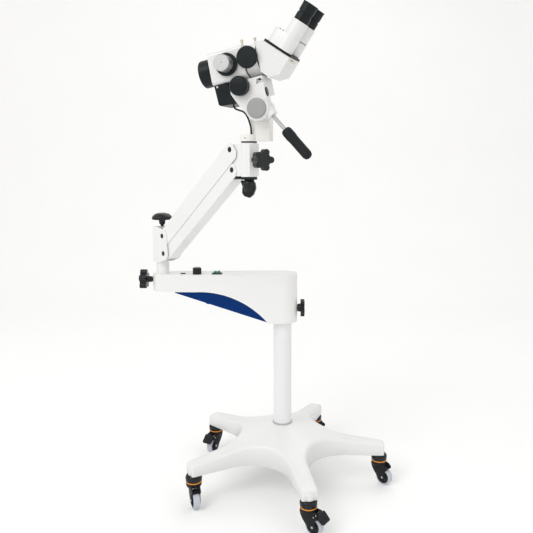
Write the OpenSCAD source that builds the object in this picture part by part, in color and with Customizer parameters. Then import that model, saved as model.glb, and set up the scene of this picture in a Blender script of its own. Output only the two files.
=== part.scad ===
// Mobile colposcope: a binocular microscope on a balanced arm, a swing housing,
// a column and a five-leg base on castors. Millimetres, +Z up.
// The origin is on the floor under the column axis. +X is to the right and +Y away from the viewer.

/* [Base] */
// Radius of the circle on which the castors turn
castor_circle_r = 300; // [280:5:320]
// Direction of the first leg, seen from above
leg_angle = 211.5; // [200:0.5:220]
// Distance from a castor's axis to the end of its leg
leg_past = 14; // [12:1:20]
// Width of a leg at its end
leg_end_w = 44; // [40:1:48]
// Width of a leg where the round corner between two legs starts
leg_root_w = 53; // [50:1:60]
// Distance from the column axis to the start of that round corner
leg_root_r = 196; // [190:1:205]
// Height of the underside of the legs above the floor
leg_bottom_z = 94; // [94:1:98]
// Height of a leg's top at its end
leg_end_z = 129; // [125:1:135]
// Height of the hub's top at the column
hub_top_z = 184; // [175:1:195]
// Wall of the cast base
base_wall = 8; // [6:0.5:10]
// Outer radius of the boss that holds the column
hub_boss_r = 40; // [38:1:46]
// Outer radius of the boss that holds a castor stem
stem_boss_r = 16; // [14:1:17]

/* [Column] */
// Outer radius of the column tube
column_r = 27.5; // [26:0.5:29]
// Wall of the column tube
column_wall = 3; // [2:0.5:5]
// Height of the column's lower end
column_foot_z = 104; // [102:1:115]
// Height of the column's upper end
column_top_z = 640; // [620:1:642]
// Radius of the collar ring at the foot of the column
collar_r = 30; // [29.5:0.5:33]
// Height of that collar ring
collar_h = 4; // [3:0.5:6]

/* [Castors] */
// Radius of a castor wheel
wheel_r = 25; // [24:0.5:26]
// Width of a castor wheel
wheel_w = 19; // [16:1:20]
// Thickness of the soft tread
tread_t = 5; // [3:0.5:7]
// Distance from the swivel axis to the axle
castor_trail = 19; // [15:1:21]
// Radius of the axle
axle_r = 4; // [3:0.5:5]
// Radius of the round cap on top of a castor
cap_r = 24; // [22:0.5:25]
// Radius of the coloured dust ring
ring_r = 23.5; // [22:0.5:24.5]
// Height of the top of the fork's crown
crown_top_z = 71.5; // [70:0.5:73]
// Thickness of a fork cheek
cheek_t = 3; // [2.5:0.5:4]

/* [Swing housing] */
// Distance from the column axis to the post axis
swing_reach = 363; // [350:1:380]
// Radius of the housing's round end at the column
housing_r = 45; // [42:1:50]
// Radius of the housing's round end at the post
housing_end_r = 30; // [29:1:36]
// Height of the housing's flat top
housing_top_z = 653; // [648:1:660]
// Height of the housing's lower face at the column
housing_low_z = 506; // [495:1:515]
// Height of the housing's lower face at the post
housing_end_z = 600; // [595:1:605]
// Sheet thickness of the housing
housing_wall = 3; // [2:0.5:4]
// Radius of the arch in the housing's lower edge
arch_r = 266; // [255:1:275]
// Distance from the column axis to where the arch starts
arch_start = 246; // [240:1:250]
// Outer radius of the sleeve round the column
sleeve_r = 35; // [33:1:38]

/* [Post and balanced arm] */
// Radius of the post that turns in the housing's end
post_r = 19; // [17:0.5:20]
// Direction of the arm: turned from +X towards the viewer
arm_azimuth = 46; // [40:1:52]
// Slope of the arm above the horizontal at rest
arm_slope = 38.6; // [34:0.2:44]
// Length of the links between their pivots
link_len = 401; // [380:1:420]
// Distance from the post axis to the upper pivot
pivot_out = 35; // [33:1:38]
// How much further out the lower pivot is
pivot_step = 5; // [3:1:7]
// Vertical distance between the two pivots
pivot_gap = 52; // [50:1:56]
// Height of the upper pivot at the post
pivot_z = 771; // [765:1:780]
// Width of the upper link
link_w = 41; // [39:1:44]
// Sheet thickness of the links
link_wall = 2; // [1.5:0.5:3]
// Side play between the upper link and the lower link inside it
link_play = 0.5; // [0.4:0.1:0.8]
// Radius of the four pivot pins
pin_r = 5; // [4:0.5:6]
// Thickness of the post fork's cheeks
fork_cheek = 4; // [3:0.5:6]

/* [Arm head] */
// Distance from the upper pivot to the swivel axis of the microscope
head_offset = 53; // [50:1:58]
// Radius of the swivel bearing
bearing_r = 20.5; // [19:0.5:22]
// Radius of the spindle inside it
spindle_r = 11; // [9:0.5:13]
// Radius of the star knobs
star_r = 27.5; // [24:0.5:30]
// Direction of the star knob on the bearing, seen from above
star_dir = -59; // [-64:1:-54]

/* [Yoke and carrier] */
// Turn of the microscope about its swivel axis, from +X towards the viewer
head_yaw = 18.5; // [12:0.5:24]
// Distance from the swivel axis to the tilt axis
tilt_x = 38; // [35:1:41]
// Height of the tilt axis above the yoke's lower face
tilt_rise = 78.8; // [74:0.2:84]
// Tilt of the microscope's optical axis at rest
scope_tilt = 11.5; // [5:0.5:18]
// Radius of the tilt hub
hub_r = 30; // [29:0.5:32]
// Radius of the cover cap on the hub
tilt_cap_r = 24.5; // [22:0.5:27]
// Slope of the handle, seen from the optical axis
handle_slope = 59; // [50:1:65]
// Width of the yoke's upright
upright_w = 52; // [48:1:54]
// Thickness of the yoke's upright
upright_t = 28; // [24:1:32]
// Radius of the handle's grip
grip_r = 13; // [11:0.5:15]
// Length of the handle's grip
grip_len = 92; // [80:1:100]

/* [Microscope] */
// Length of the microscope body along the optical axis
body_len = 93; // [86:1:98]
// Half height and half width of the body
body_half = 40; // [38:0.5:42]
// Height of the optical axis above the tilt axis
optic_h = 121; // [118:1:126]
// Distance from the tilt axis forward to the front of the body
body_front = 105; // [100:1:110]
// Radius of the objective's ring
objective_r = 35; // [33:0.5:37]
// Length of the objective's ring
objective_len = 35; // [30:1:38]
// Clear radius of the objective
objective_bore_r = 27; // [24:0.5:29]
// Radius of the beam splitter and the binocular's flange
splitter_r = 41.5; // [39:0.5:43]
// Length of the beam splitter
splitter_len = 36; // [30:1:38]
// Radius of the cap on the side port
port_cap_r = 27; // [25:0.5:29]
// Radius of the magnification knob's scale ring
dial_r = 28; // [26:0.5:30]
// Radius of the magnification knob
mag_knob_r = 20.5; // [18:0.5:23]
// Radius of the focusing knob
focus_knob_r = 24; // [22:0.5:26]

/* [Binocular tube] */
// Angle between the eyepieces and the optical axis
tube_angle = 45; // [40:1:50]
// Distance between the eyepieces
eye_distance = 58; // [54:1:66]
// Radius of an eyepiece
eyepiece_r = 19; // [17:0.5:20]
// Length of an eyepiece
eyepiece_len = 46; // [40:1:52]
// Radius of an eyepiece's tube
eye_tube_r = 21; // [20:0.5:22.5]
// Height of a prism housing
prism_h = 37.5; // [34:0.5:42]

/* [Hidden] */
$fn = 48;

// Gap between pieces that turn or slide on each other
play = 0.3;
// Radial running clearance of a shaft in its bore
fit = 0.05;
// Overrun of a cut past the face that it opens
over = 1;
// Small chamfer on a machined or moulded edge
edge = 1;
// Straight sides that run into a round end are set in by this much
side_inset = 0.12;

// The castors stand at these directions of travel and the second and fifth carry brakes
leg_count = 5;
leg_step = 360 / leg_count;
castor_turns = [-70, -35, -40, 20, -120];

// Base outline: straight leg sides joined by arcs that are tangent to them
leg_end_r = castor_circle_r + leg_past;
flare = atan((leg_root_w - leg_end_w) / 2 / (leg_end_r - leg_root_r));
arc_half = leg_step / 2 + flare;
root_out = norm([leg_root_r, leg_root_w / 2]);
root_angle = atan2(leg_root_w / 2, leg_root_r);
chord_half = root_out * sin(leg_step / 2 - root_angle);
chord_out = root_out * cos(leg_step / 2 - root_angle);
corner_arc_r = chord_half / cos(arc_half);
corner_arc_out = chord_out + chord_half * tan(arc_half);
crown_exponent_share = 1.7;
crown_steps = 12;

// Castor: stem, dust ring, domed cap, fork and wheel
stem_r = 5.5;
stem_len = 24;
ring_t = 3.2;
ring_lip = 9;
ring_low_z = crown_top_z + play;
cap_low_z = ring_low_z + ring_t;
cap_dome_h = 6;
wheel_top_z = 2 * wheel_r;
crown_gap = 4;
cheek_in = 5;
cheek_drop = 6;
cheek_edge_h = 10;
cheek_nose = 9;
guard_gap = 2;
guard_t = 3;
axle_head = 1.5;
fork_inner = wheel_w / 2 + play * 2;
wheel_boss_wall = 4;
wheel_hollow = 5;
wheel_draft = 2;
rim_lip = 2;
tread_edge = 2.5;

// Brake pedal, and its hinge in the castor's frame
hinge_out = 12;
hinge_r = 2.5;
hinge_x = castor_trail + hinge_out;
hinge_z = wheel_top_z + hinge_out;
lug_r = 6;
pedal_hub_r = 5;
pedal_len = 28;
pedal_w = 28;
pedal_shares = [[0.28, -0.25], [0.28, 0.21], [0.43, 0.18], [1, -0.43], [0.93, -0.64], [0.64, -0.68]];

// Swing housing: the arch, the cover's ends, the bosses and what is let into its top and back
arch_lift = 0.6;
trim_start = 10;
trim_tip = 3;
trim_side_in = 2;
post_boss_wall = 6;
column_stud_r = 5;
column_clamp_up = 39.5;
column_clamp_z = housing_low_z + column_clamp_up;
post_stud_r = 4;
post_clamp_drop = 19;
brightness_out = 257;
brightness_front = 20;
brightness_r = 13;
brightness_h = 20;
brightness_edge = 2.5;
brightness_stud_r = 4;
groove_r = 2;
switch_out = 197;
switch_front = 16;
switch_l = 24;
switch_w = 14;
switch_depth = 7;
bezel_lip = 3.2;
bezel_t = 3;
bezel_wall = 2;
bezel_floor = 4;
rocker_z = 1;
rocker_pin_r = 1.5;
rocker_h = 5;
slot_out = 300;
slot_l = 17;
slot_w = 4;
inlet_out = 95;
inlet_drop = 47;
inlet_l = 27;
inlet_h = 20;
inlet_depth = 22;
inlet_recess = 16;
inlet_wall = 1.5;
inlet_flange_l = 50;
inlet_flange_h = 25;
inlet_flange_t = 3;
inlet_corner_r = 6;
inlet_screw_x = 20.5;
inlet_screw_r = 1.7;
inlet_pin_pitch = 7;
inlet_pin_step = 2.2;
inlet_pin_w = 4;
inlet_pin_t = 2;

// Star knobs: neck and head of each, and the round tension knob
column_neck_r = 11;
column_neck_len = 10;
column_head_h = 12;
post_neck_r = 8;
post_neck_len = 11;
post_head_h = 26;
post_knob_r = star_r * 1.09;
head_neck_r = 9;
head_neck_len = 34;
head_knob_h = 19;
tension_r = star_r * 1.11;
tension_h = 54;
tension_stud_r = 4;
tension_stud_in = 13.5;

// Post fork
post_foot_z = housing_end_z + housing_wall + play;
fork_under = 29;
fork_over = 25;
fork_floor_z = pivot_z - pivot_gap - fork_under;
fork_top_z = pivot_z + fork_over;
fork_half = link_w / 2 + play + fork_cheek;
fork_back = 14;
fork_floor_t = 5.5;
bridge_end = 12;
bridge_t = 18;
pivot_eye_r = 20;
pin_sink = 1;

// Links and the spring cartridge
lower_link_w = link_w - 2 * link_wall - 2 * link_play;
tongue_w = lower_link_w - 2 * link_wall - 4 * play;
link_over = 17;
link_under = 31;
link_web_in = 6;
lower_half = 22;
link_nose = 16;
spring_r = 9;
spring_start = 80;
spring_end = 300;
spring_drop = 7;
spring_foot_in = 10;
spring_foot_w = 12;
spring_rod_r = 3.5;
spring_hook_w = 10;

// Arm head: pivots, swivel bearing and split clamp
run = link_len * cos(arm_slope);
rise = link_len * sin(arm_slope);
head_base = pivot_out + run;
head_pivot_z = pivot_z + rise;
head_reach = head_base + head_offset;
bearing_up = 16;
bearing_down = 17;
bearing_top_z = head_pivot_z + bearing_up;
bearing_low_z = head_pivot_z - pivot_gap - bearing_down;
tongue_eye_r = 13;
tongue_low_eye_r = 16;
clamp_lug = 7;
clamp_lug_w = 26;
clamp_lug_in = 2;
head_stud_r = 4;
stop_in = 18;
stop_t = 5;

// Below the bearing: disc and wing knob
disc_h = 7;
disc_z = bearing_low_z - play - disc_h;
wing_stud_r = 5;
wing_stud_len = 12;
wing_h = 50;
wing_t = 9;
wing_hub_shares = [[0, 0], [0.24, 0], [0.3, -0.16], [0.32, -0.36], [0.24, -0.6], [0.14, -0.68], [0, -0.7]];
wing_blade_shares = [[-0.4, -0.04], [-0.44, -0.1], [-0.34, -0.32], [-0.36, -0.68], [-0.24, -0.84],
    [0.04, -0.92], [0.24, -0.76], [0.36, -0.44], [0.32, -0.16], [0.2, -0.04]];

// Yoke
washer_h = 4;
foot_z = bearing_top_z + washer_h;
foot_h = 17;
foot_r = 23;
tilt_z = foot_z + tilt_rise;
upright_past = 20;
hub_front_y = -44;
hub_back_y = -9;
upright_front_y = hub_back_y + play * 2;
tilt_axle_r = 8;
tilt_cap_h = 5.6;

// Focus carrier, in the microscope head's frame
rail_h = 6.5;
rail_w = 30;
focus_travel = 8;
carrier_top = optic_h - body_half - rail_h;
rail_z = carrier_top - rail_h + over + play;
carrier_left = 61;
carrier_right = 28;
carrier_front = 40;
carrier_back = 30;
flank_y = -10;
focus_x = -31;
focus_drop = 60;
focus_stud_r = 4;
focus_stud_len = 18;
focus_knob_h = 24;
notch_d = 8;
notch_shares = [[0.107, 0.765], [0.295, 0.805], [0.161, 0.926]];

// Handle
handle_x = 11;
handle_y = -27;
handle_z = 9.5;
handle_socket_r = 14;
handle_socket_start = 14;
handle_socket_end = 40;
handle_rod_r = 5;
handle_rod_start = 25;
handle_rod_in = 8;
grip_start = 86.5;
grip_shares = [[0.77, 0], [0.96, 0.033], [1.04, 0.087], [1.04, 0.25], [0.96, 0.36], [0.96, 0.89],
    [0.77, 0.967], [0.385, 1], [0, 1]];

// Microscope body, objective and magnification knobs
body_back = body_front - body_len;
body_edge_r = 9;
rail_start = -50;
light_r = objective_bore_r - 3 * edge;
barrel_r = objective_bore_r + edge;
barrel_len = 12;
barrel_in = 30;
filter_len = 22;
objective_edge = 2;
lens_t = 4;
mag_in = 49.5;
mag_x = mag_in - body_front;
mag_boss_r = 24;
mag_boss_t = 2;
mag_axle_r = 8;
mag_face = body_half + mag_boss_t;
mag_len = 36.5;
mag_edge = 1.5;
dial_h = 9;
dial_edge = 2;
knurl_r = 1.3;
knurl_out = 0.6;
knurl_in = 3;

// Beam splitter with its port, and the lamp housing
splitter_front = -body_back;
flange_x = splitter_front + splitter_len;
flange_t = 5;
seam_t = 2;
splitter_step = 5;
port_in = 14;
port_x = splitter_front + port_in;
port_up = 3;
port_out = 6;
port_face = -body_half - port_out;
port_r = port_cap_r - 2 * edge;
port_bore_r = 18;
port_depth = 26;
port_cap_h = 8;
lock_in = 6;
lock_y = -12;
lock_boss_r = 5;
lock_boss_h = 7;
lamp_half_w = 34;
lamp_reach = 104;
lamp_gap = 0.8;
lamp_top = optic_h - body_half - lamp_gap;
lamp_bore_r = 16;

// Lock screws
screw_r = 2.5;
screw_head_r = 3.5;
screw_len = 9;
body_screw_x = -16;
body_screw_y = -14;
base_screw_y = -20;
base_screw_in = 6;

// Inclined block: the tip where its sloping face begins, and that face
base_half = 40;
base_reach = 79.5;
base_drop = 22;
base_face = 79.9;
base_floor = 55.5;
base_lip = 2;
base_bore_in = 14;
base_tip = [flange_x + base_reach, optic_h - base_drop];
base_top = base_tip + base_face * [-cos(tube_angle), sin(tube_angle)];
tip_q = base_tip[0] * cos(tube_angle) - base_tip[1] * sin(tube_angle);
tip_p = base_tip[0] * sin(tube_angle) + base_tip[1] * cos(tube_angle);

// Plate, prism housings and eyepieces, in the tube's frame
plate_t = 6;
plate_l = 80;
plate_w = 84;
plate_corner_r = 8;
plate_past = 0.8;
plate_p = tip_p + play;
prism_p = plate_p + plate_t;
eye_tube_len = 39;
tube_top_p = prism_p + prism_h + eye_tube_len;
eye_in = 24.7;
eye_q = tip_q - eye_in;
prism_turn_in = 54.2;
prism_turn_q = tip_q - prism_turn_in;
prism_turn_y = 24;
prism_turn_r = 19.5;
prism_past = 0.6;
eye_socket_r = 15;
eye_socket_d = 20;
eye_stem = 18;
eye_groove_d = 1.5;

// Route of the lamp cable from the lamp to the yoke's foot, with heights above the tilt axis
cable_r = 2.3;
cable_points = [[-33, -20, 11.4], [-31.5, -20, 6], [-26, -20, 1], [-18, -20, -2], [-9, -20, -5],
    [-2, -20, -10], [3, -20, -17], [7, -19, -26], [10, -18, -36], [12, -16.5, -46], [12, -15, -54],
    [12, -14, -61.4]];

// Places: each frame below puts its children where that assembly stands at rest
module at_leg(i) rotate([0, 0, leg_angle + leg_step * i]) children();

module at_castor(i) {
    a = leg_angle + leg_step * i;
    translate([castor_circle_r * cos(a), castor_circle_r * sin(a), 0])
        rotate([0, 0, castor_turns[i]])
            children();
}

module at_hinge(i) at_castor(i) translate([hinge_x, 0, hinge_z]) children();

module at_post() translate([-swing_reach, 0, 0]) rotate([0, 0, -arm_azimuth]) children();

module at_link(z) at_post() translate([pivot_out, 0, z]) rotate([0, -arm_slope, 0]) children();

module at_lower_link() {
    at_post()
        translate([pivot_out + pivot_step, 0, pivot_z - pivot_gap])
            rotate([0, -arm_slope, 0])
                children();
}

module at_head(yaw) {
    translate([head_reach * cos(arm_azimuth) - swing_reach, -head_reach * sin(arm_azimuth), 0])
        rotate([0, 0, yaw])
            children();
}

module at_scope() {
    at_head(-head_yaw)
        translate([tilt_x, 0, tilt_z])
            rotate([0, -scope_tilt, 0])
                children();
}

module at_tube() at_scope() rotate([0, tube_angle, 0]) children();

// A cylinder that runs along Y from y0 to y1
module rod_y(r, y0, y1) translate([0, y1, 0]) rotate([90, 0, 0]) cylinder(r = r, h = y1 - y0);

// A cylinder that runs along X from x0 to x1
module rod_x(r, x0, x1) translate([x0, 0, 0]) rotate([0, 90, 0]) cylinder(r = r, h = x1 - x0);

// A box centred on the Z axis, from z0 to z1
module block(l, w, z0, z1) translate([-l / 2, -w / 2, z0]) cube([l, w, z1 - z0]);

// An outline in X and Z, extruded along Y from y0 to y1
module slab(y0, y1) translate([0, y1, 0]) rotate([90, 0, 0]) linear_extrude(y1 - y0) children();

// Half section of a turned disc from z0 to z1, with a chamfer on its upper edge
module turned(r, z0, z1, chamfer, bore = 0)
    polygon([[bore, z0], [r, z0], [r, z1 - chamfer], [r - chamfer, z1], [bore, z1]]);

// A rectangle with round corners
module round_rect(w, h, r) {
    square([w - 2 * r, h], center = true);
    square([w, h - 2 * r], center = true);
    for (x = [-1, 1], y = [-1, 1])
        translate([x * (w / 2 - r), y * (h / 2 - r)]) circle(r);
}

// Two circles on the X axis joined by straight sides, set in a little
module link_outline(r1, r2, dist) {
    c = (r1 - r2) / dist;
    s = sqrt(1 - c * c);
    p = r1 - side_inset;
    q = r2 - side_inset;
    polygon([[p * c, p * s], [dist + q * c, q * s], [dist + q * c, -q * s], [p * c, -p * s]]);
    circle(r1, $fn = 96);
    translate([dist, 0]) circle(r2, $fn = 96);
}

// Star of five legs, drawn in by the amount inset
module base_outline(inset) {
    leg = leg_end_r - inset;
    w = leg_end_w / 2 - inset;
    difference() {
        polygon([for (i = [0 : leg_count - 1], p = [
            [root_out, -root_angle], [norm([leg, w]), -atan2(w, leg)],
            [norm([leg, w]), atan2(w, leg)], [root_out, root_angle]])
            p[0] * [cos(leg_angle + leg_step * i + p[1]), sin(leg_angle + leg_step * i + p[1])]]);
        for (i = [0 : leg_count - 1])
            rotate(leg_angle + leg_step * (i + 0.5))
                translate([corner_arc_out, 0]) circle(corner_arc_r + inset, $fn = 96);
    }
}

// Height of the cast crown at a share t of the way from the hub to the leg's end
function crown_z(t) = leg_end_z + (hub_top_z - leg_end_z) * pow(1 - t, crown_exponent_share);

// Body of revolution under the crown, lowered by drop
module crown_solid(drop) {
    out = leg_end_r + leg_end_w;
    rotate_extrude($fn = 96)
        polygon(concat([[0, leg_bottom_z - over], [0, hub_top_z - drop]],
            [for (k = [0 : crown_steps]) let (t = k / crown_steps)
                [collar_r + (leg_end_r - collar_r) * t, crown_z(t) - drop]],
            [[out, leg_end_z - drop], [out, leg_bottom_z - over]]));
}

module base_casting() {
    color("white")
        difference() {
            intersection() {
                translate([0, 0, leg_bottom_z])
                    linear_extrude(hub_top_z - leg_bottom_z) base_outline(0);
                crown_solid(0);
            }
            difference() {
                intersection() {
                    translate([0, 0, leg_bottom_z - over])
                        linear_extrude(hub_top_z) base_outline(base_wall);
                    crown_solid(base_wall);
                }
                cylinder(r = hub_boss_r, h = hub_top_z);
                for (i = [0 : leg_count - 1])
                    at_leg(i) translate([castor_circle_r, 0, 0]) cylinder(r = stem_boss_r, h = hub_top_z);
            }
            translate([0, 0, column_foot_z]) cylinder(r = column_r + fit, h = hub_top_z);
            for (i = [0 : leg_count - 1])
                at_leg(i)
                    translate([castor_circle_r, 0, leg_bottom_z - over])
                        cylinder(r = stem_r + fit, h = stem_len + over);
        }
}

module column() {
    color("whitesmoke")
        translate([0, 0, column_foot_z])
            difference() {
                cylinder(r = column_r, h = column_top_z - column_foot_z);
                translate([0, 0, -over])
                    cylinder(r = column_r - column_wall, h = column_top_z - column_foot_z + 2 * over);
            }
}

module column_collar() {
    color("gray")
        rotate_extrude()
            turned(collar_r, hub_top_z, hub_top_z + collar_h, edge, column_r + fit);
}

module castor_caps() {
    color("black")
        for (i = [0 : leg_count - 1])
            at_castor(i) {
                rotate_extrude()
                    polygon([[0, cap_low_z], [cap_r, cap_low_z], [cap_r, leg_bottom_z - cap_dome_h],
                        [cap_r - cap_dome_h / 2, leg_bottom_z - cap_dome_h / 3],
                        [cap_r - cap_dome_h, leg_bottom_z], [0, leg_bottom_z]]);
                translate([0, 0, leg_bottom_z]) cylinder(r = stem_r, h = stem_len);
            }
}

module castor_rings() {
    color("orange")
        for (i = [0 : leg_count - 1])
            at_castor(i)
                translate([0, 0, ring_low_z])
                    difference() {
                        cylinder(r = ring_r, h = ring_t);
                        translate([0, 0, -over]) cylinder(r = ring_r - ring_lip, h = ring_t + 2 * over);
                    }
}

// Side view of a fork: a cheek that reaches back from under the crown to the axle
module cheek_outline() {
    polygon([[cheek_in - ring_r, crown_top_z - cheek_drop],
        [cheek_in - ring_r, crown_top_z - cheek_drop - cheek_edge_h],
        [castor_trail - cheek_nose, wheel_r - cheek_nose / 2], [castor_trail, wheel_r - cheek_nose],
        [castor_trail + cheek_nose, wheel_r - cheek_nose / 4],
        [castor_trail + cheek_nose, wheel_top_z + cheek_drop],
        [ring_r - cheek_in + edge, crown_top_z - cheek_drop]]);
}

// Lug that carries the hinge of a brake pedal
module lug_outline() {
    polygon([[ring_r - lug_r, crown_top_z - edge], [hinge_x, hinge_z + lug_r],
        [hinge_x + lug_r * 0.8, hinge_z - lug_r / 2], [castor_trail + lug_r, wheel_top_z]]);
    translate([hinge_x, hinge_z]) circle(lug_r);
}

// Fork: a round crown, two cheeks that reach back to the axle, a mudguard and the axle itself
module castor_fork(i, braked) {
    outer = fork_inner + cheek_t;
    color("black")
        at_castor(i) {
            difference() {
                union() {
                    translate([0, 0, wheel_top_z + crown_gap])
                        cylinder(r = ring_r - edge, h = crown_top_z - wheel_top_z - crown_gap);
                    slab(-outer, outer) cheek_outline();
                    translate([castor_trail, 0, wheel_r])
                        rod_y(wheel_r + guard_gap + guard_t, -fork_inner, fork_inner);
                    if (braked) slab(-outer, outer) lug_outline();
                }
                slab(-fork_inner, fork_inner) {
                    translate([castor_trail, wheel_r]) circle(wheel_r + guard_gap);
                    translate([castor_trail - wheel_top_z, -wheel_r]) square([2 * wheel_top_z, wheel_top_z]);
                    translate([castor_trail + wheel_r * 0.6, 0]) square([wheel_r, wheel_top_z]);
                    if (braked)
                        translate([hinge_x - lug_r - play, hinge_z - lug_r - play])
                            square([wheel_r, wheel_r]);
                }
                translate([castor_trail, 0, wheel_r]) rod_y(axle_r, -outer - over, outer + over);
            }
            translate([castor_trail, 0, wheel_r]) rod_y(axle_r, -outer - axle_head, outer + axle_head);
        }
    if (braked) color("black") at_hinge(i) rod_y(hinge_r, -outer - edge, outer + edge);
}

// Wheel: a hub with a recessed web, and a soft tread round it
module castor_wheel(i) {
    rim = wheel_r - tread_t;
    half = wheel_w / 2;
    boss = axle_r + wheel_boss_wall;
    at_castor(i)
        translate([castor_trail, 0, wheel_r])
            rotate([90, 0, 0]) {
                color("dimgray")
                    rotate_extrude()
                        polygon([[axle_r + fit, -half], [boss, -half],
                            [boss + wheel_draft, wheel_hollow - half],
                            [rim - rim_lip - wheel_draft, wheel_hollow - half], [rim - rim_lip, -half],
                            [rim, -half], [rim, half], [rim - rim_lip, half],
                            [rim - rim_lip - wheel_draft, half - wheel_hollow],
                            [boss + wheel_draft, half - wheel_hollow], [boss, half], [axle_r + fit, half]]);
                color("lightsteelblue")
                    rotate_extrude()
                        polygon([[rim, -half], [wheel_r - tread_edge, -half], [wheel_r, tread_edge - half],
                            [wheel_r, half - tread_edge], [wheel_r - tread_edge, half], [rim, half]]);
            }
}

// Brake pedal: hinged between the cheeks and pressed down with the foot
module brake_pedal(i) {
    color("darkslategray")
        at_hinge(i)
            difference() {
                union() {
                    slab(play - fork_inner, fork_inner - play) {
                        circle(pedal_hub_r);
                        polygon([[0, -pedal_hub_r], [0, pedal_hub_r], [2 * pedal_hub_r, pedal_hub_r],
                            [2 * pedal_hub_r, -1.8 * pedal_hub_r]]);
                    }
                    slab(-pedal_w / 2, pedal_w / 2) polygon(pedal_len * pedal_shares);
                }
                rod_y(hinge_r + fit, -pedal_w / 2 - over, pedal_w / 2 + over);
            }
}

// The arch in the housing's lower edge, as a circle in the side view
module arch(r) translate([-arch_start, housing_end_z - arch_r + arch_lift]) circle(r, $fn = 180);

// Side view of the housing: flat top, flat lower edge at the post, then the arch down to the column
module housing_side(inset) {
    difference() {
        polygon([[housing_r + over, housing_top_z - inset],
            [-swing_reach - housing_end_r - over, housing_top_z - inset],
            [-swing_reach - housing_end_r - over, housing_end_z + inset],
            [-arch_start, housing_end_z + inset], [-arch_start, housing_low_z + inset],
            [housing_r + over, housing_low_z + inset]]);
        arch(arch_r + inset);
    }
}

// Side view of the cover that closes the arch, raised by lift
module trim_above(lift, right) {
    left = trim_start + housing_end_r - swing_reach;
    polygon([[left, housing_end_z + over], [right, housing_end_z + over],
        [right, housing_low_z + trim_tip + lift], [left, housing_end_z - trim_tip + lift]]);
}

module housing_plan(inset) {
    rotate(180) link_outline(housing_r - inset, housing_end_r - inset, swing_reach);
}

module swing_housing() {
    color("white")
        difference() {
            union() {
                difference() {
                    intersection() {
                        linear_extrude(housing_top_z + over) housing_plan(0);
                        slab(-housing_r - over, housing_r + over) housing_side(0);
                    }
                    intersection() {
                        linear_extrude(housing_top_z) housing_plan(housing_wall);
                        slab(-housing_r, housing_r) housing_side(housing_wall);
                    }
                }
                translate([0, 0, housing_low_z + over])
                    cylinder(r = sleeve_r, h = housing_top_z - housing_low_z - 2 * over);
                translate([-swing_reach, 0, housing_end_z + over])
                    cylinder(r = post_r + post_boss_wall, h = housing_top_z - housing_end_z - 2 * over);
            }
            translate([0, 0, housing_low_z - over])
                cylinder(r = column_r + fit, h = column_top_z - housing_low_z + over + play);
            translate([-swing_reach, 0, post_foot_z - play])
                cylinder(r = post_r + fit, h = housing_top_z);
            translate([0, 0, column_clamp_z]) rod_x(column_stud_r + fit, 0, housing_r + over);
            translate([-swing_reach, 0, housing_top_z - post_clamp_drop])
                rod_x(post_stud_r + fit, -housing_end_r - over, 0);
            translate([-brightness_out, -brightness_front, housing_top_z - housing_wall - over])
                cylinder(r = brightness_stud_r + fit, h = housing_wall + 2 * over);
            at_switch()
                block(switch_l + 2 * play, switch_w + 2 * play, -housing_wall - over, housing_wall);
            translate([-slot_out, -switch_front, housing_top_z])
                block(slot_l, slot_w, -housing_wall / 2, housing_wall);
            at_inlet()
                slab(-housing_wall - over, housing_wall)
                    square([inlet_l + 2 * play, inlet_h + 2 * play], center = true);
        }
}

// Lens-shaped cover that closes the arch, a tray that is open at the top
module housing_trim() {
    color("navy")
        intersection() {
            difference() {
                linear_extrude(housing_end_z - play) housing_plan(trim_side_in);
                intersection() {
                    linear_extrude(housing_end_z) housing_plan(trim_side_in + housing_wall);
                    slab(-housing_r, housing_r) trim_above(housing_wall, -housing_r - housing_wall);
                }
            }
            slab(-housing_r, housing_r)
                intersection() {
                    trim_above(0, -housing_r);
                    union() {
                        arch(arch_r - play);
                        translate([-swing_reach, housing_low_z])
                            square([swing_reach - arch_start, housing_end_z - housing_low_z]);
                    }
                }
        }
}

module at_switch() translate([-switch_out, -switch_front, housing_top_z]) children();

// Frame of the mains inlet, on the flat back of the housing
module at_inlet() {
    rotate([0, 0, asin((housing_r - housing_end_r) / swing_reach)])
        translate([-inlet_out, housing_r, housing_top_z - inlet_drop])
            children();
}

// Mains inlet with three pins in its recess
module power_inlet() {
    color("black")
        at_inlet()
            difference() {
                union() {
                    slab(0, inlet_flange_t) round_rect(inlet_flange_l, inlet_flange_h, inlet_corner_r);
                    slab(-inlet_depth, edge) square([inlet_l, inlet_h], center = true);
                }
                slab(-inlet_recess, inlet_flange_t + over)
                    square([inlet_l - 2 * inlet_wall, inlet_h - 2 * inlet_wall], center = true);
                for (x = [-inlet_screw_x, inlet_screw_x])
                    translate([x, 0, 0]) rod_y(inlet_screw_r, -over, inlet_flange_t + over);
            }
    color("silver")
        at_inlet()
            for (s = [-1 : 1])
                translate([s * inlet_pin_pitch, 0, s == 0 ? -inlet_pin_step : inlet_pin_step])
                    slab(-inlet_recess - over, -inlet_flange_t)
                        square([inlet_pin_w, inlet_pin_t], center = true);
}

// Star knob along Z: a threaded stem, a neck and a head with five lobes
module star_knob(stem_radius, stem_len, neck_r, neck_len, head_r, head_h) {
    lobe_r = head_r * 0.3;
    cylinder(r = stem_radius, h = stem_len);
    translate([0, 0, stem_len]) cylinder(r1 = neck_r, r2 = neck_r * 1.2, h = neck_len);
    translate([0, 0, stem_len + neck_len])
        linear_extrude(head_h) {
            circle(head_r * 0.66);
            for (i = [0 : 4])
                rotate(72 * i) {
                    translate([head_r - lobe_r, 0]) circle(lobe_r);
                    translate([0, -lobe_r * 0.9]) square([head_r - lobe_r, lobe_r * 1.8]);
                }
        }
}

module column_clamp_knob() {
    color("black")
        translate([column_r + play, 0, column_clamp_z])
            rotate([0, 90, 0])
                star_knob(column_stud_r, housing_r - column_r, column_neck_r, column_neck_len,
                    star_r, column_head_h);
}

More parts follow.
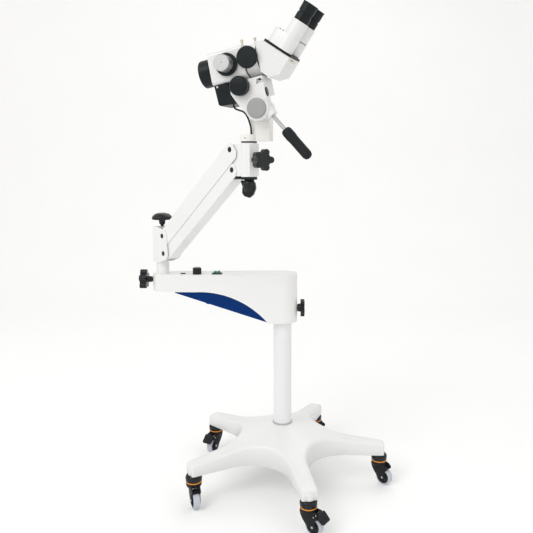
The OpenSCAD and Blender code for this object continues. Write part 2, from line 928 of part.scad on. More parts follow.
module post_clamp_knob() {
    color("black")
        translate([-swing_reach - post_r - play, 0, housing_top_z - post_clamp_drop])
            rotate([0, -90, 0])
                star_knob(post_stud_r, housing_end_r - post_r + edge, post_neck_r, post_neck_len,
                    post_knob_r, post_head_h);
}

module brightness_knob() {
    top = housing_wall + brightness_h;
    color("black")
        translate([-brightness_out, -brightness_front, housing_top_z - housing_wall])
            difference() {
                rotate_extrude() {
                    turned(brightness_r, housing_wall + play, top, brightness_edge);
                    square([brightness_stud_r, housing_wall + over]);
                }
                for (a = [0 : 30 : 330])
                    rotate([0, 0, a])
                        translate([brightness_r + edge, 0, 2 * housing_wall])
                            cylinder(r = groove_r, h = brightness_h);
            }
}

module switch_bezel() {
    color("black")
        at_switch() {
            difference() {
                union() {
                    block(switch_l + 2 * bezel_lip, switch_w + 2 * bezel_lip, 0, bezel_t);
                    block(switch_l, switch_w, -switch_depth, edge);
                }
                block(switch_l - 2 * bezel_wall, switch_w - 2 * bezel_wall,
                    bezel_floor - switch_depth, bezel_t + over);
            }
            translate([0, 0, rocker_z])
                rod_y(rocker_pin_r, bezel_wall / 2 - switch_w / 2, switch_w / 2 - bezel_wall / 2);
        }
}

module switch_rocker() {
    half = switch_l / 2 - bezel_wall - edge;
    side = switch_w / 2 - bezel_wall - play;
    low = 1.5 * rocker_pin_r;
    color("green")
        at_switch()
            translate([0, 0, rocker_z])
                difference() {
                    slab(-side, side)
                        polygon([[-half, -low], [-half, rocker_h], [0, 0.6 * rocker_h],
                            [half, 1.3 * rocker_h], [half, -low]]);
                    rod_y(rocker_pin_r + fit, -switch_w, switch_w);
                }
}

// Fork of the post: the post itself, a floor, a back wall, a top bridge and two cheeks
module post_fork() {
    low_x = pivot_out + pivot_step;
    low_z = pivot_z - pivot_gap;
    eye = pivot_eye_r;
    color("white")
        at_post()
            difference() {
                union() {
                    translate([0, 0, post_foot_z])
                        cylinder(r = post_r, h = fork_floor_z - post_foot_z + over);
                    slab(-fork_half, fork_half) {
                        polygon([[-fork_back, fork_floor_z], [-fork_back, fork_top_z],
                            [bridge_end, fork_top_z],
                            [pivot_out + 0.3 * eye, pivot_z + 0.925 * eye], [pivot_out + eye, pivot_z],
                            [low_x + eye, low_z], [low_x + 0.6 * eye, low_z - 0.85 * eye],
                            [post_r, fork_floor_z]]);
                        translate([pivot_out, pivot_z]) circle(eye);
                        translate([low_x, low_z]) circle(eye);
                    }
                }
                slab(-fork_half + fork_cheek, fork_half - fork_cheek)
                    polygon([[fork_cheek - fork_back, fork_floor_z + fork_floor_t],
                        [fork_cheek - fork_back, fork_top_z - bridge_t], [bridge_end, fork_top_z - bridge_t],
                        [bridge_end, fork_top_z + over], [pivot_out + 2 * eye, fork_top_z + over],
                        [pivot_out + 2 * eye, fork_floor_z - over],
                        [post_r + fork_cheek / 2, fork_floor_z - over],
                        [post_r + fork_cheek / 2, fork_floor_z + fork_floor_t]]);
                translate([pivot_out, 0, pivot_z]) rod_y(pin_r + fit, -fork_half - over, fork_half + over);
                translate([low_x, 0, low_z]) rod_y(pin_r + fit, -fork_half - over, fork_half + over);
                translate([0, 0, fork_top_z - tension_stud_in - edge / 2])
                    cylinder(r = tension_stud_r + fit, h = bridge_t);
            }
}

// Pivot pins of the post fork, sunk a little below its cheeks
module post_pins() {
    color("dimgray")
        at_post() {
            translate([pivot_out, 0, pivot_z]) rod_y(pin_r, pin_sink - fork_half, fork_half - pin_sink);
            translate([pivot_out + pivot_step, 0, pivot_z - pivot_gap])
                rod_y(pin_r, pin_sink - fork_half, fork_half - pin_sink);
        }
}

module tension_knob() {
    h = tension_h;
    r = tension_r;
    color("black")
        at_post()
            translate([0, 0, fork_top_z - tension_stud_in])
                rotate_extrude()
                    polygon([[0, 0], [tension_stud_r, 0], [tension_stud_r, 0.3 * h], [0.3 * r, 0.41 * h],
                        [0.33 * r, 0.63 * h], [r, 0.63 * h], [r, 0.78 * h], [0.7 * r, 0.94 * h],
                        [0.33 * r, h], [0, h]]);
}

// Upper link: a channel open below, which covers the lower link
module upper_link() {
    half = link_w / 2;
    heel = 0.47 * link_over;
    toe = 0.41 * link_over;
    past = 2 * link_over;
    color("white")
        at_link(pivot_z)
            difference() {
                slab(-half, half) {
                    polygon([[0, -link_under], [-heel, -link_under], [-link_over, -link_over],
                        [-link_over, 0], [0, link_over], [link_len, link_over], [link_len + link_over, 0],
                        [link_len + link_over, -link_over - edge], [link_len + toe, -link_under]]);
                    circle(link_over);
                    translate([link_len, 0]) circle(link_over);
                }
                slab(-half + link_wall, half - link_wall)
                    polygon([[-past, -link_under - over], [-past, link_over + over],
                        [link_web_in, link_over + over], [link_web_in, link_over - link_wall],
                        [link_len - link_web_in, link_over - link_wall],
                        [link_len - link_web_in, link_over + over],
                        [link_len + past, link_over + over], [link_len + past, -link_under - over]]);
                rod_y(pin_r + fit, -half - over, half + over);
                translate([link_len, 0, 0]) rod_y(pin_r + fit, -half - over, half + over);
            }
}

// Lower link: a channel open above, which slides inside the upper one
module lower_link() {
    half = lower_link_w / 2;
    nose = link_nose;
    top = 0.91 * lower_half;
    past = 2 * link_over;
    color("white")
        at_lower_link()
            difference() {
                slab(-half, half)
                    polygon([[0, -lower_half], [-0.75 * nose, -nose], [-nose, 0], [-0.75 * nose, 0.75 * nose],
                        [nose / 4, top], [link_len - nose / 4, top], [link_len + 0.75 * nose, 0.75 * nose],
                        [link_len + nose, 0], [link_len + 0.75 * nose, -nose], [link_len, -lower_half]]);
                slab(-half + link_wall, half - link_wall)
                    polygon([[-past, -lower_half - over], [-past, lower_half + over],
                        [link_len + past, lower_half + over], [link_len + past, -lower_half - over],
                        [link_len - 0.75 * nose, -lower_half - over],
                        [link_len - 0.75 * nose, link_wall - lower_half],
                        [link_wall, link_wall - lower_half], [link_wall, -lower_half - over]]);
                rod_y(pin_r + fit, -half - over, half + over);
                translate([link_len, 0, 0]) rod_y(pin_r + fit, -half - over, half + over);
            }
}

// Spring cartridge in the lower link, hooked on the lower pin at the post
module balance_spring() {
    foot_start = spring_start + spring_foot_in;
    foot_end = spring_end - spring_foot_in;
    color("silver")
        at_lower_link()
            difference() {
                union() {
                    translate([0, 0, -spring_drop]) rod_x(spring_r, spring_start, spring_end);
                    slab(-spring_foot_w / 2, spring_foot_w / 2)
                        polygon([[foot_start, link_wall - lower_half], [foot_start, -spring_drop - edge],
                            [foot_end, -spring_drop - edge], [foot_end, link_wall - lower_half]]);
                    rod_x(spring_rod_r, pin_r, foot_start);
                    rod_y(spring_r, -spring_hook_w / 2, spring_hook_w / 2);
                }
                rod_y(pin_r + fit, -spring_hook_w, spring_hook_w);
            }
}

// Head bracket: the swivel bearing, the tongue between the links and the split clamp
module head_bracket() {
    low_x = head_base + pivot_step;
    low_z = head_pivot_z - pivot_gap;
    eye = tongue_eye_r;
    low_eye = tongue_low_eye_r;
    back = head_offset - 0.2 * bearing_r;
    color("white")
        difference() {
            union() {
                at_head(0)
                    translate([0, 0, bearing_low_z])
                        cylinder(r = bearing_r, h = bearing_top_z - bearing_low_z);
                at_post()
                    slab(-tongue_w / 2, tongue_w / 2) {
                        polygon([[head_base + 0.3 * eye, head_pivot_z + 0.92 * eye],
                            [head_base + 0.45 * head_offset, bearing_top_z - over],
                            [head_base + back, bearing_top_z - over],
                            [head_base + back, bearing_low_z + over],
                            [low_x + low_eye / 8, bearing_low_z + over],
                            [low_x - 0.81 * low_eye, low_z - 0.375 * low_eye],
                            [head_base - 0.92 * eye, low_z + low_eye / 4],
                            [head_base - 0.92 * eye, head_pivot_z]]);
                        translate([head_base, head_pivot_z]) circle(eye);
                        translate([low_x, low_z]) circle(low_eye);
                    }
                at_head(star_dir)
                    translate([0, -clamp_lug_w / 2, bearing_low_z + clamp_lug_in])
                        cube([bearing_r + clamp_lug, clamp_lug_w,
                            bearing_top_z - bearing_low_z - 2 * clamp_lug_in]);
            }
            at_head(0)
                translate([0, 0, bearing_low_z - over])
                    cylinder(r = spindle_r + fit, h = bearing_top_z - bearing_low_z + 2 * over);
            at_post() {
                translate([head_base, 0, head_pivot_z]) rod_y(pin_r + fit, -link_w, link_w);
                translate([low_x, 0, low_z]) rod_y(pin_r + fit, -link_w, link_w);
            }
            at_head(star_dir)
                translate([0, 0, (bearing_low_z + bearing_top_z) / 2])
                    rod_x(head_stud_r + fit, 0, bearing_r + clamp_lug + over);
        }
}

// Pivot pins of the arm head, sunk a little below the links' sides
module head_pins() {
    upper = link_w / 2 - pin_sink;
    lower = lower_link_w / 2 - pin_sink;
    color("dimgray")
        at_post() {
            translate([head_base, 0, head_pivot_z]) rod_y(pin_r, -upper, upper);
            translate([head_base + pivot_step, 0, head_pivot_z - pivot_gap]) rod_y(pin_r, -lower, lower);
        }
}

module head_clamp_knob() {
    color("black")
        at_head(star_dir)
            translate([spindle_r + play, 0, (bearing_low_z + bearing_top_z) / 2])
                rotate([0, 90, 0])
                    rotate([0, 0, 18])
                        star_knob(head_stud_r, bearing_r + clamp_lug - spindle_r, head_neck_r,
                            head_neck_len, star_r, head_knob_h);
}

module stop_bar() {
    color("black")
        at_post()
            translate([head_base + stop_in, -tongue_w / 2, bearing_low_z + over - stop_t])
                cube([head_offset - bearing_r - stop_in - over, tongue_w, stop_t]);
}

module spindle_disc() {
    color("black")
        at_head(0)
            translate([0, 0, disc_z])
                difference() {
                    cylinder(r = bearing_r, h = disc_h);
                    translate([0, 0, -over]) cylinder(r = wing_stud_r + fit, h = disc_h + 2 * over);
                }
}

// Wing knob: a round hub with a tapered blade, which locks the spindle from below
module wing_knob() {
    color("black")
        at_head(-head_yaw)
            translate([0, 0, disc_z - play]) {
                rotate_extrude() polygon(wing_h * wing_hub_shares);
                translate([0, 0, -wing_t]) cylinder(r = wing_stud_r, h = wing_stud_len + wing_t);
                slab(-wing_t / 2, wing_t / 2) polygon(wing_h * wing_blade_shares);
            }
}

module swivel_washer() {
    color("black")
        at_head(0)
            translate([0, 0, bearing_top_z])
                difference() {
                    cylinder(r = bearing_r - edge / 2, h = washer_h - play);
                    translate([0, 0, -over]) cylinder(r = spindle_r + fit, h = washer_h + 2 * over);
                }
}

// Yoke: the spindle, a round foot and an upright that carries the tilt axle
module yoke() {
    right = tilt_x + upright_past;
    left = right - upright_w;
    back_y = upright_front_y + upright_t;
    color("linen")
        at_head(-head_yaw)
            difference() {
                union() {
                    translate([0, 0, foot_z]) cylinder(r = foot_r, h = foot_h);
                    translate([0, 0, disc_z + disc_h])
                        cylinder(r = spindle_r, h = foot_z - disc_z - disc_h + over);
                    slab(upright_front_y, back_y)
                        polygon([[left, foot_z], [left, tilt_z], [right, tilt_z], [right, foot_z]]);
                    translate([tilt_x, 0, tilt_z]) rod_y(upright_w / 2, upright_front_y, back_y);
                    translate([tilt_x, 0, tilt_z]) rod_y(tilt_axle_r, hub_front_y + play, 0);
                }
                translate([0, 0, disc_z + disc_h - over]) cylinder(r = wing_stud_r + fit, h = wing_stud_len);
            }
}

module tilt_cap() {
    h = tilt_cap_h;
    r = tilt_cap_r;
    color("silver")
        at_scope()
            translate([0, hub_front_y, 0])
                rotate([90, 0, 0])
                    rotate_extrude()
                        polygon([[0, 0], [r, 0], [r, 0.62 * h], [r - 0.27 * h, 0.9 * h], [r - h, h], [0, h]]);
}

// Carrier: tilt hub, the flank that rises from it, the slide block and the handle's socket
module focus_carrier() {
    l = carrier_left;
    r = carrier_right;
    h = carrier_top;
    color("white")
        at_scope()
            difference() {
                union() {
                    rod_y(hub_r, hub_front_y, hub_back_y);
                    slab(-carrier_front, flank_y)
                        polygon([[-0.87 * hub_r, -0.47 * hub_r], [-0.82 * l, h / 3], [-l, 0.645 * h],
                            [-l, 0.75 * h], [-0.82 * l, h], [r - edge, h], [r, 0.27 * h], [0.97 * hub_r, 0]]);
                    slab(-carrier_front, carrier_back)
                        polygon([[-0.85 * l, 0.62 * h], [-l, 0.645 * h], [-l, 0.75 * h], [-0.82 * l, h],
                            [r - edge, h], [r, 0.44 * h], [-0.49 * l, 0.44 * h]]);
                    handle_frame() rod_x(handle_socket_r, handle_socket_start, handle_socket_end);
                }
                rod_y(tilt_axle_r + fit, hub_front_y - over, over);
                translate([-l - focus_travel - over, -rail_w / 2 - play, h - rail_h + over])
                    cube([l + r + 2 * focus_travel, rail_w + 2 * play, rail_h + over]);
                translate([focus_x, 0, optic_h - focus_drop])
                    rod_y(focus_stud_r + fit, -carrier_front - over,
                        focus_stud_len + 2 * over - carrier_front);
                slab(-carrier_front - over, notch_d - carrier_front) polygon(h * notch_shares);
                handle_frame() rod_x(handle_rod_r + fit, handle_rod_start - over, 2 * handle_socket_end);
            }
}

// Frame of the handle: its X axis runs out along the rod
module handle_frame() translate([handle_x, handle_y, handle_z]) rotate([0, handle_slope, 0]) children();

module handle_rod() {
    color("silver")
        at_scope() handle_frame() rod_x(handle_rod_r, handle_rod_start, grip_start + handle_rod_in);
}

module handle_grip() {
    color("black")
        at_scope()
            handle_frame()
                translate([grip_start, 0, 0])
                    rotate([0, 90, 0])
                        rotate_extrude()
                            polygon([[0, handle_rod_in + play], [handle_rod_r + fit, handle_rod_in + play],
                                [handle_rod_r + fit, 0],
                                for (p = grip_shares) [p[0] * grip_r, p[1] * grip_len]]);
}

module focus_knob() {
    h = focus_knob_h;
    r = focus_knob_r;
    color("black")
        at_scope()
            translate([focus_x, -carrier_front - play, optic_h - focus_drop])
                rotate([90, 0, 0])
                    rotate_extrude()
                        polygon([[0, -focus_stud_len], [focus_stud_r, -focus_stud_len], [focus_stud_r, 0],
                            [r - 0.08 * h, 0], [r, 0.08 * h], [r, 0.75 * h],
                            [r - 0.17 * h, 0.92 * h], [0, h]]);
}

// Body of the magnification changer, with the rail that slides in the carrier
module microscope_body() {
    color("white")
        at_scope()
            difference() {
                union() {
                    translate([-body_front, 0, optic_h])
                        rotate([90, 0, 90])
                            linear_extrude(body_len) round_rect(2 * body_half, 2 * body_half, body_edge_r);
                    translate([rail_start, -rail_w / 2, rail_z])
                        cube([-rail_start - body_back, rail_w, optic_h - body_half + 2 * over - rail_z]);
                    translate([rail_start, -rail_w / 2, rail_z])
                        cube([flange_x - rail_start, rail_w, optic_h - splitter_r - play - rail_z]);
                    translate([mag_x, 0, optic_h]) rod_y(mag_boss_r, -mag_face, mag_face);
                }
                translate([0, 0, optic_h]) rod_x(barrel_r + fit, -body_front - over, barrel_in - body_front);
                translate([0, 0, optic_h]) rod_x(light_r, -body_front, over - body_back);
            }
}

module objective_ring() {
    e = objective_edge;
    len = objective_len;
    color("black")
        at_scope()
            translate([-body_front - len, 0, optic_h])
                rotate([0, 90, 0])
                    rotate_extrude()
                        polygon([[objective_bore_r, 0], [objective_r - e, 0], [objective_r, e],
                            [objective_r, len - 3 * e], [objective_r - e, len - 2 * e],
                            [objective_r - e, len],
                            [barrel_r, len], [barrel_r, len + barrel_len], [light_r, len + barrel_len],
                            [light_r, filter_len], [objective_bore_r, filter_len]]);
}

module objective_lens() {
    color("lightcyan")
        at_scope()
            translate([filter_len + objective_edge - body_front - objective_len, 0, optic_h])
                rotate([0, 90, 0])
                    rotate_extrude()
                        polygon([[0, -0.375 * lens_t], [0.58 * light_r, -0.2 * lens_t],
                            [light_r - fit, lens_t / 4], [light_r - fit, lens_t], [0, lens_t]]);
}

module both_sides() {
    children();
    mirror([0, 1, 0]) children();
}

module mag_scale_ring() {
    color("black")
        at_scope()
            translate([mag_x, 0, optic_h])
                both_sides()
                    rotate([90, 0, 0])
                        rotate_extrude()
                            turned(dial_r, mag_face, mag_face + dial_h, dial_edge, mag_axle_r + fit);
}

module mag_knob() {
    color("silver")
        at_scope()
            translate([mag_x, 0, optic_h])
                both_sides()
                    rotate([90, 0, 0])
                        difference() {
                            rotate_extrude() {
                                turned(mag_knob_r, mag_face + dial_h + play, mag_face + mag_len, mag_edge);
                                translate([0, mag_face + play]) square([mag_axle_r, dial_h + over]);
                            }
                            for (a = [0 : 15 : 345])
                                rotate([0, 0, a])
                                    translate([mag_knob_r + knurl_out, 0, mag_face + dial_h + knurl_in])
                                        cylinder(r = knurl_r, h = mag_len, $fn = 16);
                        }
}

// Beam splitter: a round block with a port on the viewer's side
module beam_splitter() {
    r = splitter_r;
    step = splitter_step;
    color("whitesmoke")
        at_scope()
            translate([0, 0, optic_h])
                difference() {
                    union() {
                        rotate([0, 90, 0])
                            rotate_extrude()
                                polygon([[light_r, splitter_front], [r - step, splitter_front],
                                    [r - step, splitter_front + seam_t], [r, splitter_front + seam_t],
                                    [r, flange_x - seam_t], [r - 0.6 * step, flange_x - seam_t],
                                    [r - 0.6 * step, flange_x], [light_r, flange_x]]);
                        port_boss(splitter_front, port_depth);
                        port_boss(splitter_front - r, body_half + play);
                        translate([flange_x - lock_in, lock_y, r + edge - lock_boss_h])
                            cylinder(r = lock_boss_r, h = lock_boss_h);
                    }
                    translate([port_x, 0, port_up]) rod_y(port_bore_r, port_face - over, -splitter_r / 2);
                    rod_x(light_r, splitter_front - over, flange_x + over);
                }
}

// The port's round boss, right of the plane x0 and clear of the next flange
module port_boss(x0, depth) {
    intersection() {
        translate([port_x, 0, port_up]) rod_y(port_r, port_face, -depth);
        translate([x0, port_face - over, -splitter_r])
            cube([flange_x - play - x0, splitter_r, 2 * splitter_r]);
    }
}

module port_cap() {
    h = port_cap_h;
    r = port_cap_r;
    color("black")
        at_scope()
            translate([port_x, port_face, optic_h + port_up])
                rotate([90, 0, 0])
                    rotate_extrude()
                        polygon([[0, 0], [r, 0], [r, 0.75 * h], [r - 0.19 * h, 0.94 * h], [0, h]]);
}

module lamp_housing() {
    l = lamp_reach;
    h = lamp_top;
    color("black")
        at_scope()
            difference() {
                slab(-lamp_half_w, lamp_half_w)
                    polygon([[-l, h], [-0.976 * l, 0.4 * h], [-0.933 * l, 0.35 * h], [-0.495 * l, 0.305 * h],
                        [-carrier_left, 0.645 * carrier_top - play], [-carrier_left, 0.75 * carrier_top],
                        [-0.635 * l, h]]);
                translate([0, 0, 0.69 * h]) rod_x(lamp_bore_r, -l - over, -0.92 * l);
            }
}

function cable_tangent(i) =
    let (n = len(cable_points) - 1)
    i == 0 ? cable_points[1] - cable_points[0]
    : i == n ? [0, 0, -1]
    : cable_points[i + 1] - cable_points[i - 1];

// Cable: one tube swept along its points, with eight sides
module lamp_cable() {
    sides = 8;
    side = [0, 1, 0];
    rings = [for (i = [0 : len(cable_points) - 1])
        let (t = cable_tangent(i), d = t / norm(t), up = cross(side, d), u = up / norm(up), v = cross(d, u))
        for (k = [0 : sides - 1])
            cable_points[i] + cable_r * (cos(360 * k / sides) * u + sin(360 * k / sides) * v)];
    n = len(cable_points);
    faces = concat([[for (k = [0 : sides - 1]) k]],
        [for (i = [0 : n - 2], k = [0 : sides - 1])
            let (a = i * sides + k, b = i * sides + (k + 1) % sides)
            [a, a + sides, b + sides, b]],
        [[for (k = [sides - 1 : -1 : 0]) (n - 1) * sides + k]]);
    color("black") at_head(-head_yaw) translate([0, 0, tilt_z]) polyhedron(rings, faces);
}

// Knurled screws that lock the body, the beam splitter and the inclined block
module lock_screw(len) {
    cylinder(r = screw_r, h = len);
    translate([0, 0, len]) cylinder(r = screw_head_r, h = len * 0.8);
}

module lock_screws() {
    color("gold")
        at_scope() {
            translate([body_screw_x, body_screw_y, optic_h + body_half]) lock_screw(screw_len);
            translate([flange_x - lock_in, lock_y, optic_h + splitter_r + edge]) lock_screw(screw_len * 0.67);
            rotate([0, tube_angle, 0])
                translate([0, base_screw_y, plate_p - base_screw_in])
                    rod_x(screw_r, tip_q + fit, tip_q + 1.4 * screw_len);
        }
}

// Inclined block between the beam splitter and the prism housings
module binocular_base() {
    back = flange_x + base_lip;
    floor_z = optic_h - base_floor;
    color("whitesmoke")
        at_scope()
            difference() {
                union() {
                    translate([0, 0, optic_h]) rod_x(splitter_r, flange_x, flange_x + flange_t);
                    slab(-base_half, base_half)
                        polygon([[back, optic_h + 0.9 * base_half], base_top, base_tip,
                            [flange_x + 0.58 * base_reach, floor_z], [flange_x + 0.25 * base_reach, floor_z],
                            [back, optic_h - 0.67 * base_floor]]);
                }
                translate([0, 0, optic_h]) rod_x(light_r, flange_x - over, flange_x + base_bore_in);
            }
}

module binocular_plate() {
    color("black")
        at_tube()
            translate([tip_q + plate_past - plate_l / 2, 0, plate_p])
                linear_extrude(plate_t - play) round_rect(plate_l, plate_w, plate_corner_r);
}

// Prism housing: a block that turns to set the distance between the eyes, and the eyepiece tube
module prism_housing(side) {
    eye_y = side * eye_distance / 2;
    turn_y = side * prism_turn_y;
    dist = norm([eye_q - prism_turn_q, eye_y - turn_y]);
    color("whitesmoke")
        at_tube()
            difference() {
                union() {
                    translate([prism_turn_q, turn_y, prism_p])
                        linear_extrude(prism_h)
                            rotate(atan2(eye_y - turn_y, eye_q - prism_turn_q))
                                link_outline(prism_turn_r, eye_tube_r + prism_past, dist);
                    translate([eye_q, eye_y, prism_p + prism_h]) cylinder(r = eye_tube_r, h = eye_tube_len);
                }
                translate([eye_q, eye_y, tube_top_p - eye_socket_d])
                    cylinder(r = eye_socket_r + fit, h = eye_socket_d + over);
            }
}

// Eyepiece: the stem in its socket, a ringed barrel and a dished cup
module eyepiece(side) {
    r = eyepiece_r;
    len = eyepiece_len;
    color("black")
        at_tube()
            translate([eye_q, side * eye_distance / 2, tube_top_p])
                rotate_extrude()
                    polygon([[0, -eye_stem], [eye_socket_r, -eye_stem], [eye_socket_r, play],
                        [r - edge, play],
                        [r, play + edge], [r, 0.39 * len], [r - eye_groove_d, 0.41 * len],
                        [r - eye_groove_d, 0.48 * len], [r, 0.5 * len], [r, 0.91 * len], [r + edge, len],
                        [0.84 * r, len], [0.68 * r, 0.74 * len], [0, 0.74 * len]]);
}

base_casting();
column();
column_collar();
castor_caps();
castor_rings();
castor_fork(0, false);  // castor_fork_1
castor_fork(1, true);  // castor_fork_2
castor_fork(2, false);  // castor_fork_3
castor_fork(3, false);  // castor_fork_4
castor_fork(4, true);  // castor_fork_5
castor_wheel(0);  // castor_wheel_1
castor_wheel(1);  // castor_wheel_2
castor_wheel(2);  // castor_wheel_3
castor_wheel(3);  // castor_wheel_4
castor_wheel(4);  // castor_wheel_5
brake_pedal(1);  // brake_pedal_2
brake_pedal(4);  // brake_pedal_5
swing_housing();
housing_trim();
column_clamp_knob();
post_clamp_knob();
brightness_knob();
switch_bezel();
switch_rocker();
power_inlet();
post_fork();
post_pins();
tension_knob();
upper_link();
lower_link();
balance_spring();
head_bracket();
head_pins();
head_clamp_knob();
stop_bar();
spindle_disc();
wing_knob();
swivel_washer();
yoke();
tilt_cap();
focus_carrier();
handle_rod();
handle_grip();
focus_knob();
microscope_body();
objective_ring();
objective_lens();
mag_scale_ring();
mag_knob();
beam_splitter();
port_cap();
lamp_housing();
lamp_cable();
lock_screws();
binocular_base();
binocular_plate();
prism_housing(1);  // prism_left
prism_housing(-1);  // prism_right
eyepiece(1);  // eyepiece_left
eyepiece(-1);  // eyepiece_right
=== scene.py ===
import math
import bmesh
import bpy
from mathutils import Matrix, Vector


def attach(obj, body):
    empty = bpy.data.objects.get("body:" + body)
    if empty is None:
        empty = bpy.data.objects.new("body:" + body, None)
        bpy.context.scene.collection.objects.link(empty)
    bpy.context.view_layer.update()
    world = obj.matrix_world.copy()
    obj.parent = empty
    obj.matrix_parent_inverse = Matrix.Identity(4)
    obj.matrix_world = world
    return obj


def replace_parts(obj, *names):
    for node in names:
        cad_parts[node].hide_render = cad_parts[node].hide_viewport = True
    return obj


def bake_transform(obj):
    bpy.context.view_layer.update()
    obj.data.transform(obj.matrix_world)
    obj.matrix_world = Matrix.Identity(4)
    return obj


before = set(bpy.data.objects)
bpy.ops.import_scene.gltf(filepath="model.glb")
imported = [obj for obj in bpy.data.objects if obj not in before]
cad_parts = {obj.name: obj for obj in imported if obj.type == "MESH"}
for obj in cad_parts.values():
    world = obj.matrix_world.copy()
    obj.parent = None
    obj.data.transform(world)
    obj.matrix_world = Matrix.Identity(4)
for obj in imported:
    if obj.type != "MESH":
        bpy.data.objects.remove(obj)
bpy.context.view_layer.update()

# Camera: the photographer's place, 1.9 m in front of the column and a little below the arm's head.
# It is tipped down by a tenth of a radian, and the lens shift puts the column left of the middle,
# as a photograph that was cropped afterwards shows it.
tip_down = 0.10
camera = bpy.data.objects.new("camera", bpy.data.cameras.new("camera"))
bpy.context.scene.collection.objects.link(camera)
bpy.context.scene.camera = camera
camera.location = (0.0018, -1.8993, 0.9934)
camera.rotation_euler = (math.pi / 2 - tip_down, 0, 0)
camera.data.lens = 42.69
camera.data.sensor_width = 36
camera.data.shift_x = -0.031
camera.data.shift_y = -0.080
bpy.context.scene.view_settings.view_transform = "Standard"

# Studio sheet: one roll of matt white paper that lies on the floor and bends up behind the object,
# so that no edge shows. It is extruded from its side view, and it takes the object's shadow.
sheet_half = 7.0
floor_front, floor_back = -6.0, 2.2
bend_r = 1.2
wall_top = 5.0
bend_steps = 12
side_view = [(floor_front, 0.0), (floor_back, 0.0)]
for step in range(1, bend_steps + 1):
    turn = step * math.pi / 2 / bend_steps
    side_view.append((floor_back + bend_r * math.sin(turn), bend_r - bend_r * math.cos(turn)))
side_view.append((floor_back + bend_r, wall_top))
shape = bmesh.new()
line = [shape.verts.new((-sheet_half, y, z)) for y, z in side_view]
edges = [shape.edges.new(pair) for pair in zip(line, line[1:])]
far_side = bmesh.ops.extrude_edge_only(shape, edges=edges)["geom"]
far_verts = [v for v in far_side if isinstance(v, bmesh.types.BMVert)]
bmesh.ops.translate(shape, vec=(2 * sheet_half, 0, 0), verts=far_verts)
for face in shape.faces:
    face.smooth = True
    if face.normal.z < -0.001 or face.normal.y > 0.001:
        face.normal_flip()
sheet = bpy.data.meshes.new("studio_sheet")
shape.to_mesh(sheet)
shape.free()
studio = bpy.data.objects.new("studio_sheet", sheet)
bpy.context.scene.collection.objects.link(studio)


class Value:
    """A number, colour or vector in a material, so that sums on it can be written as sums."""

    def __init__(self, tree, out):
        self.tree = tree
        self.out = out

    def node(self, kind, inputs=None, out=0, **settings):
        made = self.tree.nodes.new("ShaderNode" + kind)
        for name, value in settings.items():
            setattr(made, name, value)
        for name, value in (inputs or {}).items():
            if isinstance(value, Value):
                self.tree.links.new(value.out, made.inputs[name])
            else:
                made.inputs[name].default_value = value
        return Value(self.tree, made.outputs[out])

    def sum(self, operation, *others):
        return self.node("Math", dict(enumerate((self, *others))), operation=operation)

    def __add__(self, other):
        return self.sum("ADD", other)

    def __mul__(self, other):
        return self.sum("MULTIPLY", other)

    def __sub__(self, other):
        return self.sum("SUBTRACT", other)

    def __gt__(self, other):
        return self.sum("GREATER_THAN", other)

    __radd__ = __add__
    __rmul__ = __mul__

    def __rsub__(self, other):
        return self.node("Math", {0: other, 1: self}, operation="SUBTRACT")

    def clamp(self, low, high):
        return self.sum("MAXIMUM", low).sum("MINIMUM", high)

    def noise(self, scale, detail=2.0):
        return self.node("TexNoise", {"Vector": self, "Scale": scale, "Detail": detail})

    def mix(self, first, second):
        """Goes from the first colour at 0 to the second at 1."""
        ends = [(*end, 1) if isinstance(end, tuple) else end for end in (first, second)]
        return self.node("Mix", {0: self, 6: ends[0], 7: ends[1]}, out=2, data_type="RGBA")

    def bump(self, height, distance):
        return self.node("Bump", {"Height": height, "Distance": distance})


def finish_of(name, build, roughness, metallic=0.0, coat=0.0, shine=0.5):
    """A material: build takes the piece's own coordinates and returns what varies over it."""
    material = bpy.data.materials.new(name)
    material.use_nodes = True
    tree = material.node_tree
    shader = tree.nodes["Principled BSDF"]
    shader.inputs["Roughness"].default_value = roughness
    shader.inputs["Metallic"].default_value = metallic
    shader.inputs["Coat Weight"].default_value = coat
    shader.inputs["Specular IOR Level"].default_value = shine
    place = Value(tree, tree.nodes.new("ShaderNodeTexCoord").outputs["Object"])
    for socket, value in build(place).items():
        tree.links.new(value.out, shader.inputs[socket])
    return material


def studio_paper(place):
    """Paper that the viewer sees as near white and that still takes the object's shadow."""
    seen = place.node("LightPath", out="Is Camera Ray")
    return {"Base Color": place.noise(3.0).mix((0.90, 0.90, 0.90), (0.93, 0.93, 0.93)),
            "Emission Color": seen.mix((0.0, 0.0, 0.0), (0.12, 0.12, 0.12))}


paper = finish_of("studio_paper", studio_paper, 0.9)
paper.node_tree.nodes["Principled BSDF"].inputs["Emission Strength"].default_value = 1.0
sheet.materials.append(paper)

# Studio light: a bright room all round, a large soft key lamp up on the left, and two weak lamps
# that fill the right side and the back. The viewer, and rays through glass, see the room as white.
world = bpy.data.worlds.new("studio")
bpy.context.scene.world = world
world.use_nodes = True
background = world.node_tree.nodes["Background"]
background.inputs["Color"].default_value = (1.0, 0.995, 0.98, 1)
background.inputs["Strength"].default_value = 0.74
room = Value(world.node_tree, background.outputs[0])
white = room.node("Background", {"Color": (1, 1, 1, 1), "Strength": 1.0})
camera_ray, glass_ray = [room.node("LightPath", out=ray)
                         for ray in ("Is Camera Ray", "Is Transmission Ray")]
both = room.node("MixShader", {0: (camera_ray + glass_ray).clamp(0.0, 1.0), 1: room, 2: white})
world.node_tree.links.new(both.out, world.node_tree.nodes["World Output"].inputs["Surface"])
aim = Vector((0, 0, 0.8))
lamps = (("key", (-2.2, -2.6, 3.4), 2.4, 58),
         ("fill", (2.6, -2.2, 1.8), 2.4, 9),
         ("back", (0.4, 2.0, 3.6), 2.0, 14))
